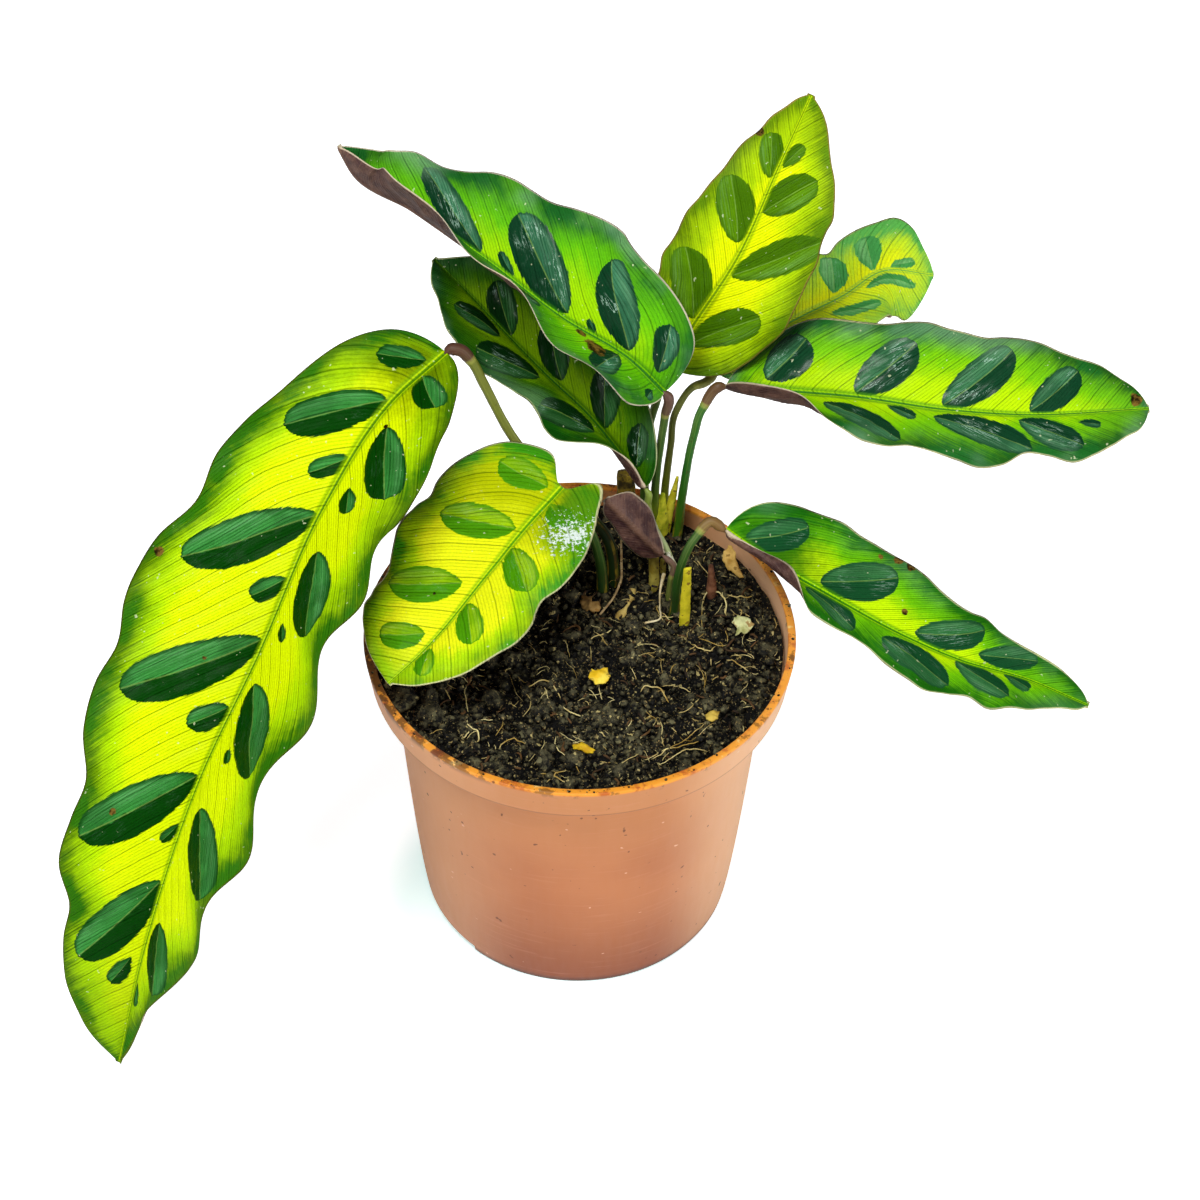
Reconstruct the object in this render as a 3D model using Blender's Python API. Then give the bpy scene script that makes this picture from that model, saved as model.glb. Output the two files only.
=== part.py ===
"""Potted calathea: a small rattlesnake plant in a 12 cm nursery pot.

Nine long waved leaves stand on thin stalks in a pot full of peat soil. All sizes here are in
millimetres and become metres on the meshes. The origin is the middle of the pot's underside,
+Z is up and the plant's long leaf hangs to the front left (-X, -Y).
"""
import math

import bmesh
import bpy
import numpy as np
from mathutils import Vector
from mathutils.bvhtree import BVHTree

MM = 0.001
GAP = 0.3

# Pot: a thin moulded pot with a straight collar
POT_HEIGHT = 100.0
RIM_RADIUS = 60.0
COLLAR_HEIGHT = 10.6
COLLAR_FOOT_RADIUS = 58.6
BODY_TOP_RADIUS = 52.2
BASE_RADIUS = 44.0
WALL = 1.5
LIP_WIDTH = 2.2
FLOOR_LIFT = 3.0
PAD_RADIUS = 22.0
POT_SIDES = 44
DRAIN_HOLES = 8
DRAIN_RADIUS = 4.0
DRAIN_CIRCLE = 32.0
NOTCH_ANGLES = (-148.0, 32.0)
NOTCH_WIDTH = 26.0
NOTCH_HEIGHT = 2.2

# Soil: fills the pot to just under the lip
SOIL_LEVEL = 94.3
SOIL_SIDES = 40
SOIL_RINGS = (8.0, 16.0, 24.0, 32.0, 40.0, 48.0, 54.0)
STEM_DEPTH = 9.0
ROOT_LEAN = 0.92

# Leaves: a blade is a thin sheet, thicker along its rib
BLADE = 0.8
KEEL = 1.0
RIB_COLUMN = 0.09
NECK = 1.1
LOBE_REACH = 0.16
UNDER_RIB = 2.0
LOBE_SPREAD = 5.0
BAR_SIDES = 8
STALK_ROWS = 17
SMALL_ROWS = 10

# Loose crumbs: thin plates that lie on the soil
FLAKE = 0.8


def smooth(values, x, knots=None):
    """Smooth curve through rows of values at the knots: cubic pieces with central slopes."""
    values = np.asarray(values, float)
    if knots is None:
        knots = np.linspace(0.0, 1.0, len(values))
    slopes = np.gradient(values, knots, axis=0)
    piece = np.clip(np.searchsorted(knots, x, side="right") - 1, 0, len(knots) - 2)
    span = knots[piece + 1] - knots[piece]
    f = (x - knots[piece]) / span
    if values.ndim > 1:
        f = f[..., None]
        span = span[..., None]
    return ((2 * f**3 - 3 * f**2 + 1) * values[piece]
            + (f**3 - 2 * f**2 + f) * span * slopes[piece]
            + (3 * f**2 - 2 * f**3) * values[piece + 1]
            + (f**3 - f**2) * span * slopes[piece + 1])


def unit(v):
    """Vectors scaled to length one."""
    return v / np.linalg.norm(v, axis=-1, keepdims=True)


def along(points, t):
    """Place and direction at the share t of the length of a smooth curve through the points."""
    points = np.asarray(points, float)
    t = np.asarray(t, float)
    chords = np.linalg.norm(np.diff(points, axis=0), axis=1)
    knots = np.concatenate([[0.0], np.cumsum(chords)])
    fine = np.linspace(0.0, knots[-1], 401)
    steps = np.linalg.norm(np.diff(smooth(points, fine, knots), axis=0), axis=1)
    length = np.concatenate([[0.0], np.cumsum(steps)])
    x = np.interp(t * length[-1], length, fine)
    nudge = knots[-1] * 0.002
    ahead = smooth(points, np.clip(x + nudge, 0, knots[-1]), knots)
    behind = smooth(points, np.clip(x - nudge, 0, knots[-1]), knots)
    return smooth(points, x, knots), unit(ahead - behind)


def half_width(leaf, t, side):
    """Width of one half: hand-set widths at even steps, closed by a round base and a pointed tip."""
    base = np.sqrt(1.0 - (1.0 - np.clip(t / leaf["round"], 0.0, 1.0))**2)
    tip = 1.0 - np.clip((t - leaf["taper"]) / (1.0 - leaf["taper"]), 0.0, 1.0)**leaf["point"]
    return np.maximum(smooth(leaf["width"][side], t) * base * tip, NECK)


def blade_surface(leaf, t, q):
    """Middle surface of a blade: t runs from base to tip, q from the left margin, -1, to the right, 1.

    The rib is a smooth curve. Each half leaves it on an arc that starts at the angle 'rise' and
    ends at 'rise' plus 'curl', so that a large curl rolls the margin over. The outer part of each
    half waves, and the crests run out from the rib and forward, as the side veins do. At the base,
    the margin is drawn back by 'lobe' to a heart shape.
    """
    t, q = np.broadcast_arrays(np.asarray(t, float), np.asarray(q, float))
    place, direction = along(leaf["rib"], t)
    face = smooth(leaf["face"], t)
    normal = unit(face - (face * direction).sum(-1, keepdims=True) * direction)
    across = np.cross(direction, normal)
    out = np.abs(q)
    side = np.where(q < 0, -1.0, 1.0)
    total = np.zeros_like(place)
    for index, sign in ((0, -1.0), (1, 1.0)):
        width = half_width(leaf, t, index)
        start = np.radians(smooth(leaf["rise"][index], t))
        turn = np.radians(smooth(leaf["curl"][index], t))
        turn = np.where(np.abs(turn) < 1e-3, 1e-3, turn)
        angle = start + turn * out
        reach = (np.sin(angle) - np.sin(start)) / turn * width
        climb = (np.cos(start) - np.cos(angle)) / turn * width
        count, phase, height = leaf["wave"][index]
        crest = np.sin(2 * math.pi * (count * (t - leaf["sweep"] * out) + phase))
        swell = height * out**2 * np.sin(math.pi * np.clip(t, 0, 1))**0.5 * crest
        lobe = leaf.get("lobe", (0, 0))[index] * (1.0 - np.exp(-((width - NECK) / LOBE_SPREAD)**2))
        back = lobe * out**2 * np.exp(-(t / LOBE_REACH)**2)
        shift = ((reach - swell * np.sin(angle))[..., None] * sign * across
                 + (climb + swell * np.cos(angle))[..., None] * normal - back[..., None] * direction)
        total += np.where((side == sign)[..., None], place + shift, 0.0)
    return total


def blade_normal(leaf, t, q):
    """Direction of the upper face, from small steps along and across the blade."""
    step = 1e-3
    down = np.clip(t - step, 0, 1)
    up = np.clip(t + step, 0, 1)
    left = np.clip(q - step, -1, 1)
    right = np.clip(q + step, -1, 1)
    lengthwise = blade_surface(leaf, up, q) - blade_surface(leaf, down, q)
    crosswise = blade_surface(leaf, t, right) - blade_surface(leaf, t, left)
    return unit(np.cross(crosswise, lengthwise))


def blade_columns(count):
    """Columns across a blade, from margin to margin, with a narrow pair beside the rib."""
    outer = np.linspace(RIB_COLUMN, 1.0, count)
    return np.concatenate([-outer[::-1], [0.0], outer])


def blade_mesh(leaf):
    """Closed thin sheet: upper and lower grids split alike, joined round the margin."""
    rows = leaf["rows"]
    q = blade_columns(leaf["columns"])
    t, q = np.meshgrid(np.linspace(0.0, 1.0, rows + 1)**leaf.get("crowd", 1.0), q, indexing="ij")
    middle = blade_surface(leaf, t, q)
    normal = blade_normal(leaf, t, q)
    keel = np.where(q == 0.0, KEEL * (1.0 - 0.8 * t), 0.0)
    half = BLADE / 2
    upper = middle + normal * half
    lower = middle - normal * (half + keel)[..., None]
    across = q.shape[1]
    count = q.size
    index = np.arange(count).reshape(q.shape)
    a = index[:-1, :-1].ravel()
    b = index[:-1, 1:].ravel()
    c = index[1:, 1:].ravel()
    d = index[1:, :-1].ravel()
    triangles = [np.stack([a, b, c], 1), np.stack([a, c, d], 1),
                 np.stack([a, c, b], 1) + count, np.stack([a, d, c], 1) + count]
    start = np.concatenate([index[0, :], index[1:, across - 1], index[-1, -2::-1], index[-2:0:-1, 0]])
    end = np.roll(start, -1)
    triangles.append(np.stack([start, start + count, end + count], 1))
    triangles.append(np.stack([start, end + count, end], 1))
    vertices = np.concatenate([upper.reshape(-1, 3), lower.reshape(-1, 3)])
    return vertices, np.concatenate(triangles).tolist()


def make_mesh(name, vertices, faces):
    """Mesh datablock from places in millimetres."""
    mesh = bpy.data.meshes.new(name)
    mesh.from_pydata((np.asarray(vertices) * MM).tolist(), [], faces)
    mesh.update()
    return mesh


def add_object(name, mesh, material):
    """Object in the scene with its own material, shaded smooth up to sharp edges."""
    obj = bpy.data.objects.new(name, mesh)
    bpy.context.scene.collection.objects.link(obj)
    mesh.shade_smooth()
    mesh.set_sharp_from_angle(angle=math.radians(40))
    mesh.materials.append(material)
    return obj


def make_material(name, colour, roughness):
    """Principled material of one colour."""
    material = bpy.data.materials.new(name)
    material.use_nodes = True
    shader = material.node_tree.nodes["Principled BSDF"]
    shader.inputs["Base Color"].default_value = (*colour, 1.0)
    shader.inputs["Roughness"].default_value = roughness
    shader.inputs["Metallic"].default_value = 0.0
    material.diffuse_color = (*colour, 1.0)
    return material


def turned_mesh(name, profile, sides):
    """Closed solid turned round the Z axis from an outline that starts and ends on the axis."""
    mesh = bpy.data.meshes.new(name)
    bm = bmesh.new()
    outline = [bm.verts.new(Vector((radius, 0.0, height)) * MM) for radius, height in profile]
    edges = [bm.edges.new(pair) for pair in zip(outline, outline[1:])]
    bmesh.ops.spin(bm, geom=outline + edges, axis=(0, 0, 1), cent=(0, 0, 0),
                   angle=2 * math.pi, steps=sides, use_duplicate=False)
    bmesh.ops.remove_doubles(bm, verts=bm.verts, dist=0.01 * MM)
    bmesh.ops.recalc_face_normals(bm, faces=bm.faces)
    bm.to_mesh(mesh)
    bm.free()
    return mesh


def bar_mesh(places, way, widths, depths, face):
    """Closed bar with an oval section: half widths across and half depths along the face's way."""
    normal = unit(face - (way @ face)[:, None] * way)
    across = np.cross(way, normal)
    angle = 2 * math.pi * np.arange(BAR_SIDES) / BAR_SIDES
    rings = (places[:, None] + (widths[:, None] * np.cos(angle))[..., None] * across[:, None]
             + (depths[:, None] * np.sin(angle))[..., None] * normal[:, None])
    last = (len(places) - 1) * BAR_SIDES
    faces = [list(range(BAR_SIDES)), list(range(last + BAR_SIDES - 1, last - 1, -1))]
    for start in range(0, last, BAR_SIDES):
        for side in range(BAR_SIDES):
            after = (side + 1) % BAR_SIDES
            faces.append([start + side, start + BAR_SIDES + side, start + BAR_SIDES + after,
                          start + after])
    return rings.reshape(-1, 3), faces


def cut(target, cutter):
    """Take the cutter's shape out of the target and keep the cutter as a hidden guide."""
    cutter.hide_render = True
    cutter.display_type = "WIRE"
    modifier = target.modifiers.new(cutter.name, "BOOLEAN")
    modifier.operation = "DIFFERENCE"
    modifier.solver = "EXACT"
    modifier.object = cutter


def body_radius(height):
    """Outer radius of the pot's side: it leans out quickly near the foot and slowly above."""
    share = np.clip(height / (POT_HEIGHT - COLLAR_HEIGHT), 0.0, 1.0)
    return BASE_RADIUS + (BODY_TOP_RADIUS - BASE_RADIUS) * share**0.75


def pot_profile():
    """Outline of the pot's wall, from the middle of the underside out, up and back inside."""
    collar_foot = POT_HEIGHT - COLLAR_HEIGHT
    floor_top = FLOOR_LIFT + WALL
    heights = (4.0, 12.0, 25.0, 45.0, 67.0)
    outside = [(0.0, 0.0), (PAD_RADIUS, 0.0), (PAD_RADIUS + 2.0, FLOOR_LIFT),
               (BASE_RADIUS - 1.8, FLOOR_LIFT), (BASE_RADIUS - 1.6, 0.0), (BASE_RADIUS - 0.5, 0.0),
               (BASE_RADIUS, 0.5)]
    outside += [(body_radius(height), height) for height in heights]
    outside += [(BODY_TOP_RADIUS, collar_foot), (COLLAR_FOOT_RADIUS - 0.4, collar_foot),
                (COLLAR_FOOT_RADIUS, collar_foot + 0.4), (RIM_RADIUS - 0.1, POT_HEIGHT - 1.0),
                (RIM_RADIUS, POT_HEIGHT - 0.7), (RIM_RADIUS - 0.5, POT_HEIGHT)]
    inside = [(RIM_RADIUS - LIP_WIDTH, POT_HEIGHT), (RIM_RADIUS - LIP_WIDTH - 0.3, POT_HEIGHT - 1.2),
              (COLLAR_FOOT_RADIUS - WALL, collar_foot + WALL), (BODY_TOP_RADIUS - WALL, collar_foot + WALL)]
    inside += [(body_radius(height) - WALL, height) for height in heights[:0:-1]]
    inside += [(body_radius(floor_top) - WALL, floor_top), (PAD_RADIUS + 1.4, floor_top),
               (PAD_RADIUS - 0.6, WALL), (0.0, WALL)]
    return outside + inside


def soil_height(x, y):
    """Height of the soil: a low lumpy bed with a mound where the stalks stand."""
    lumps = (0.7 * np.sin(0.23 * x + 1.3) * np.cos(0.19 * y - 0.4)
             + 0.5 * np.sin(0.41 * x - 0.33 * y) + 0.3 * np.cos(0.62 * y + 0.2 * x))
    mound = 3.0 * np.exp(-((x - 21.0)**2 + (y - 40.0)**2) / 14.0**2)
    edge = np.clip((np.hypot(x, y) - 46.0) / 9.0, 0.0, 1.0)
    return SOIL_LEVEL + (lumps + mound) * (1.0 - 0.7 * edge)


def soil_profile():
    """Outline of the soil, clear of the pot's inside all round."""
    collar_foot = POT_HEIGHT - COLLAR_HEIGHT
    floor_top = FLOOR_LIFT + WALL
    wall_gap = WALL + GAP
    outline = [(0.0, WALL + GAP), (PAD_RADIUS - 0.8, WALL + GAP), (PAD_RADIUS + 1.2, floor_top + GAP),
               (body_radius(floor_top) - wall_gap - 0.1, floor_top + GAP)]
    outline += [(body_radius(height) - wall_gap, height) for height in (12.0, 25.0, 45.0, 67.0)]
    outline += [(BODY_TOP_RADIUS - wall_gap, collar_foot + WALL + GAP),
                (COLLAR_FOOT_RADIUS - wall_gap, collar_foot + WALL + GAP),
                (COLLAR_FOOT_RADIUS - wall_gap + 0.3, SOIL_LEVEL)]
    outline += [(radius, SOIL_LEVEL) for radius in SOIL_RINGS[::-1]]
    return outline + [(0.0, SOIL_LEVEL)]


def add_pot():
    """Pot with drain holes through its raised floor and two notches in its foot."""
    terracotta = make_material("terracotta_plastic", (0.55, 0.22, 0.11), 0.5)
    pot = add_object("pot", turned_mesh("pot", pot_profile(), POT_SIDES), terracotta)
    for number in range(DRAIN_HOLES):
        angle = 2 * math.pi * (number + 0.5) / DRAIN_HOLES
        mesh = bpy.data.meshes.new("drain_cutter")
        bm = bmesh.new()
        bmesh.ops.create_cone(bm, cap_ends=True, segments=12, radius1=DRAIN_RADIUS * MM,
                              radius2=DRAIN_RADIUS * MM, depth=8 * MM)
        bm.to_mesh(mesh)
        bm.free()
        cutter = add_object(f"drain_cutter_{number + 1}", mesh, terracotta)
        cutter.location = Vector((DRAIN_CIRCLE * math.cos(angle), DRAIN_CIRCLE * math.sin(angle),
                                  FLOOR_LIFT)) * MM
        cut(pot, cutter)
    for number, degrees in enumerate(NOTCH_ANGLES):
        mesh = bpy.data.meshes.new("notch_cutter")
        bm = bmesh.new()
        bmesh.ops.create_cube(bm, size=1.0)
        bmesh.ops.scale(bm, vec=Vector((8.0, NOTCH_WIDTH, 2 * NOTCH_HEIGHT)) * MM, verts=bm.verts)
        bm.to_mesh(mesh)
        bm.free()
        cutter = add_object(f"notch_cutter_{number + 1}", mesh, terracotta)
        angle = math.radians(degrees)
        reach = BASE_RADIUS - 2.0
        cutter.location = Vector((reach * math.cos(angle), reach * math.sin(angle), 0.0)) * MM
        cutter.rotation_euler = (0.0, 0.0, angle)
        cut(pot, cutter)
    return pot


def add_soil():
    """Soil that fills the pot, its top raised into lumps by a formula."""
    peat = make_material("peat_soil", (0.03, 0.02, 0.014), 0.95)
    mesh = turned_mesh("soil", soil_profile(), SOIL_SIDES)
    top_radius = COLLAR_FOOT_RADIUS - WALL - GAP
    for vertex in mesh.vertices:
        x, y, z = vertex.co / MM
        if z > SOIL_LEVEL - 0.01 and math.hypot(x, y) < top_radius:
            vertex.co.z = soil_height(x, y) * MM
    return add_object("soil", mesh, peat)


# Leaf blades. 'rib' lists hand-set places of the midrib from the stalk to the tip, and 'face' the way
# that the upper face looks along it. Pairs are the left and right halves, seen from above with the
# tip ahead: 'width' at even steps, 'rise' and 'curl' in degrees at even steps, and 'wave' with its
# count, phase and height. 'round' is the share of the length that the rounded base takes up, 'taper'
# where the tip begins, and 'point' how blunt it is. 'lobe' is how far the margins are drawn back
# at the base, and 'crowd' gathers the rows there. 'lead' is how far the stalk follows the rib's
# line before the blade, 'under' ends it below the rib, and 'foot' is its swelling at the soil.
LEAVES = {
    "leaf_1": dict(
        rib=[(-38, 44, 163.5), (-52.5, 28, 159), (-69.5, 2, 144.5), (-85.5, -32, 122),
             (-99.5, -58, 103), (-115, -83, 62), (-124, -94, 24)],
        face=[(-0.15, -0.5, 0.8), (-0.4, -0.65, 0.63), (-0.45, -0.65, 0.6), (-0.45, -0.65, 0.6)],
        width=([21.5, 22, 25, 26.5, 25.5, 28.5, 28, 28, 26.5, 29, 29.5, 29, 29, 29, 25, 26, 20, 15.5, 10.5,
                6.5, 10],
               [32, 27, 25.5, 26.5, 30, 32, 31.5, 37.5, 39, 38.5, 35.5, 36, 33.5, 28.5, 29, 28.5, 23, 23.5,
                23.5, 24.5, 36]),
        round=0.2, taper=0.75, point=3.5,
        rise=[(15, 22, 25, 25), (15, 22, 25, 20)], curl=[(0, 0, 0, 0), (-10, 0, 0, 0)],
        wave=[(6.6, 0.24, 3.0), (6.0, 0.38, 2.0)], sweep=0.12,
        stalk=[(9, 26.5, 94.5), (6.8, 29.3, 108.5), (-5.5, 36, 118), (-19.7, 41, 135), (-27.9, 44, 152.5),
               (-31.2, 45.2, 159.5), (-34.5, 45.5, 163.2)],
        stalk_radius=1.5, lead=1.0, rows=36, columns=4),
    "leaf_2": dict(
        rib=[(-5.5, 24, 132.5), (-15, 11, 130), (-24.5, -4, 127.5), (-42.5, -27, 118.5), (-51, -34, 114)],
        face=[(-0.1, -0.3, 1.0), (-0.15, -0.3, 1.0)],
        width=([9.5, 10.5, 13, 16.5, 19, 20.5, 21, 21, 20, 18, 18.5, 20, 20.5, 20, 18, 16, 14, 11.5, 9.5,
                8.5, 6.5],
               [12, 18, 23, 26, 28, 28.5, 27.5, 28.5, 28.5, 28.5, 28, 26.5, 25, 23.5, 23, 23, 22, 22, 22,
                24, 34]),
        round=0.08, taper=0.75, point=4, lobe=(11, 9), crowd=1.6,
        rise=[(12, 10), (12, 10)], curl=[(-10, -15), (-10, -10)],
        wave=[(2.6, 0.0, 1.2), (2.6, 0.5, 1.2)], sweep=0.2,
        stalk=[(6, 21.3, 94.5), (5, 22, 107), (1, 22.5, 119.5)],
        stalk_radius=1.5, under=True, foot=0.5, rows=20, columns=4),
    "leaf_3": dict(
        rib=[(22, 42, 152), (12.5, 44, 162), (-6, 48, 173), (-28.5, 54, 189.5), (-47, 61, 199.5),
             (-62, 65, 207), (-67, 66, 217)],
        face=[(-0.1, -0.65, 0.75), (-0.1, -0.65, 0.75)],
        width=([15.5, 17, 18.5, 19.5, 20, 20, 19, 17, 14, 11.5, 9.5, 9, 9, 9, 9, 10, 12, 14, 15, 15.5, 16],
               [23, 23.5, 23, 23.5, 24.5, 26.5, 28.5, 29, 28, 26, 23.5, 22.5, 22, 20.5, 17, 14.5, 14.5,
                13.5, 14.5, 17, 16.5]),
        round=0.2, taper=0.75, point=2.5,
        rise=[(45, 60, 85, 125), (24, 16, 0, 0)], curl=[(10, 15, 20, 30), (0, -10, -10, 0)],
        wave=[(4.0, 0.0, 1.5), (4.0, 0.5, 2.0)], sweep=0.15,
        stalk=[(20.5, 40.2, 94.5), (20.3, 41.5, 111), (20.7, 42, 122.5), (21.6, 42, 134), (22.4, 42, 143)],
        stalk_radius=1.25, foot=0.6, lead=1.0, rows=28, columns=5),
    "leaf_4": dict(
        rib=[(17.5, 34, 123), (1.5, 48, 137), (-11.5, 58, 144), (-23, 66, 152), (-33, 73, 159.5),
             (-43, 80, 166)],
        face=[(0.2, -0.5, 0.83), (0.3, -0.44, 0.83)],
        width=([2, 5.5, 6.5, 6.5, 8.5, 12, 15, 14.5, 12, 12, 15, 16.5, 16.5, 17, 17, 18, 18.5, 15.5,
                12.5, 14, 16],
               [10.5, 12, 13, 14, 15, 16.5, 17.5, 18.5, 18.5, 18.5, 19, 20, 20, 19, 17.5, 16, 15, 14, 12.5,
                10.5, 9]),
        round=0.2, taper=0.75, point=3,
        rise=[(20, 25), (42, 30, 20)], curl=[(150, 120, 0, 0, 0, 0, 0, 0, 0), (0, 0)],
        wave=[(3.6, 0.0, 1.8), (3.6, 0.5, 1.8)], sweep=0.18,
        stalk=[(26.5, 25, 94.5), (26, 25.3, 100), (23.8, 27, 106.5), (20.5, 29.6, 112), (18.3, 32.6, 117.5)],
        stalk_radius=0.9, lead=1.0, rows=21, columns=4),
    "leaf_5": dict(
        rib=[(23, 55, 150), (29.5, 56, 164), (41, 58, 187.5), (51.5, 65, 215), (59, 72, 232.5)],
        face=[(-0.1, -0.9, 0.3), (-0.2, -0.9, 0.3)],
        width=([11.5, 12.5, 14, 15, 16, 16.5, 17, 18.5, 18, 18, 18.5, 18.5, 17, 15.5, 13.5, 12.5, 11.5, 10,
                10.5, 10.5, 15.5],
               [15.5, 16.5, 17.5, 18, 19, 20, 21, 21.5, 21, 20.5, 20, 20, 19, 19, 19.5, 18, 16, 13.5, 13,
                15, 19.5]),
        round=0.2, taper=0.75, point=2.5,
        rise=[(10, 10), (10, 10)], curl=[(0, 0), (0, 0)],
        wave=[(3.2, 0.0, 1.5), (3.2, 0.5, 1.5)], sweep=0.18,
        stalk=[(17.5, 45, 94.5), (17.5, 48.5, 108), (18, 52.5, 127), (21, 55, 142)],
        stalk_radius=1.3, rows=20, columns=4),
    "leaf_6": dict(
        rib=[(37, 60, 143.5), (48, 70, 146.5), (60.5, 80, 147), (73.5, 90, 147), (84, 98, 149),
             (100, 104, 143)],
        face=[(-0.2, -0.5, 0.85), (-0.2, -0.5, 0.85)],
        width=([5.5, 6.5, 7, 7.5, 8.5, 9, 10, 11, 11.5, 12.5, 13.5, 14.5, 14.5, 12.5, 13.5, 14, 14.5, 15.5,
                13, 9, 9],
               [9.5, 10, 9.5, 9.5, 9.5, 10, 10.5, 10.5, 10, 10, 10.5, 11.5, 12.5, 11.5, 12, 14, 14.5, 14.5,
                14, 16.5, 16]),
        round=0.2, taper=0.86, point=4,
        rise=[(10, 10), (0, -20)], curl=[(0, 0), (-20, -40)],
        wave=[(2.6, 0.0, 1.2), (3.6, 0.5, 2.0)], sweep=0.18,
        stalk=[(22.8, 44, 94.5), (23.3, 46, 112), (24.5, 48, 127), (25.5, 49.5, 137.5), (30, 54, 143)],
        stalk_radius=1.1, foot=0.7, rows=19, columns=4),
    "leaf_7": dict(
        rib=[(39, 45, 152), (59.5, 41, 154), (73.5, 38, 155.5), (98.5, 34, 155), (119.5, 33, 154.5),
             (155, 38, 153)],
        face=[(0.0, -0.4, 0.9), (0.0, -0.35, 0.95)],
        width=([13.5, 15.5, 18, 20, 21, 21, 21, 21.5, 23, 23.5, 22.5, 22, 21.5, 22, 21.5, 20, 17.5, 16,
                15.5, 14.5, 19.5],
               [12.5, 13.5, 15.5, 17.5, 16, 16.5, 15, 17, 17.5, 14.5, 13.5, 15, 17.5, 16, 11.5, 12, 14.5,
                13, 11.5, 12, 21]),
        round=0.12, taper=0.75, point=4,
        rise=[(-25, 8, 15, 12, 12, 11, 10), (10, 10, 5, 0)],
        curl=[(0, 0, 0, 0), (140, 110, 30, 0, -10, -15, -20)],
        wave=[(3.6, 0.0, 1.5), (4.6, 0.03, 1.5)], sweep=0.15,
        stalk=[(26.6, 41, 94.5), (28.2, 42.4, 113), (30.7, 43, 135), (32.8, 43.3, 145)],
        stalk_radius=1.3, lead=1.0, rows=26, columns=5),
    "leaf_8": dict(
        rib=[(39.5, 14, 127), (50, 10, 121), (69, 3, 113), (91, -4, 104), (105, -8, 100), (123.5, -11, 96),
             (141, -15, 90)],
        face=[(0.2, -0.3, 0.95), (0.2, -0.4, 0.9)],
        width=([18.5, 18.5, 18.5, 19, 19.5, 20, 19.5, 20, 20, 19.5, 18, 16, 15, 14.5, 14, 10.5, 8.5, 8, 8.5,
                9.5, 12.5],
               [1.5, 2, 4.5, 8, 11.5, 13, 11.5, 10.5, 9, 8.5, 10.5, 13, 15, 12.5, 10, 12.5, 11.5, 11, 8.5,
                7.5, 13.5]),
        round=0.15, taper=0.75, point=3,
        rise=[(10, 10), (5, 10)], curl=[(0, 0), (150, 140, 10, 0, 0, 0, 0)],
        wave=[(3.6, 0.0, 1.8), (4.2, 0.5, 1.8)], sweep=0.18,
        stalk=[(26.3, 13, 94.5), (26.8, 12.5, 108), (28.2, 12, 117), (31.3, 12.8, 125)],
        stalk_radius=1.3, foot=0.7, rows=24, columns=5),
    "leaf_9": dict(
        rib=[(22.8, 21.5, 109.2), (18.5, 21.8, 114.3), (14.5, 22.5, 119), (6.3, 24.5, 127.7)],
        face=[(0.1, 0.8, -0.5), (0.1, 0.8, -0.5)],
        width=([1.5, 4, 6.8, 6.9, 6],
               [6, 5.8, 5.6, 4.4, 4]),
        round=0.2, taper=0.8, point=2,
        rise=[(5, 5), (5, 5)], curl=[(20, 20), (20, 20)],
        wave=[(1.5, 0.0, 0.4), (1.5, 0.5, 0.4)], sweep=0.2,
        stalk=[(24.5, 19.5, 94.5), (25, 20.5, 100)],
        stalk_radius=0.8, rows=12, columns=3),
}

# Small standing pieces: hand-set places from the buried end up, half widths and half depths at even
# steps, the way that the broad side faces, and the colour
STANDING = {
    "yellow_sheath": dict(
        places=[(22.9, 39.3, 87), (23.9, 41.2, 96), (24.7, 42.2, 106), (25.7, 42.8, 113), (26.6, 43, 119)],
        widths=[0.7, 0.8, 1.1, 1.1, 0.4], depths=[0.5, 0.5, 0.5, 0.5, 0.3], face=(0.1, -1.0, 0.3),
        colour="sheath_yellow"),
    "leaf_8_sheath": dict(
        places=[(29, 8.5, 87), (29.1, 8.5, 96), (29.2, 8.6, 106), (29.4, 8.8, 117)],
        widths=[0.9, 1.5, 1.4, 1.1], depths=[0.5, 0.5, 0.5, 0.4], face=(0.3, -1.0, 0.3),
        colour="sheath_yellow"),
    "old_stalk": dict(
        places=[(12.3, 45.5, 87), (12.3, 46, 100), (12.1, 47, 116.5)],
        widths=[2.3, 2.6, 2.5], depths=[1.6, 1.8, 1.6], face=(0.0, -1.0, 0.2), colour="stalk_green"),
    "cut_stub_1": dict(
        places=[(20.6, 25, 87), (20.6, 25.3, 96), (20.3, 25.8, 104.5)],
        widths=[1.5, 1.5, 1.4], depths=[1.2, 1.2, 1.1], face=(0.0, -1.0, 0.2), colour="sheath_yellow"),
    "cut_stub_2": dict(
        places=[(23.1, 27.8, 88), (23.1, 28, 95), (23, 28.3, 100.5)],
        widths=[0.9, 0.9, 0.8], depths=[0.8, 0.8, 0.7], face=(0.0, -1.0, 0.2), colour="sheath_yellow"),
    "new_shoot": dict(
        places=[(37, 20.6, 88), (36.8, 20.7, 96), (36.6, 20.8, 101), (36.3, 21.1, 106)],
        widths=[1.7, 1.6, 1.2, 0.6], depths=[1.2, 1.2, 0.9, 0.5], face=(0.0, -1.0, 0.2),
        colour="dry_brown"),
}

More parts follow.
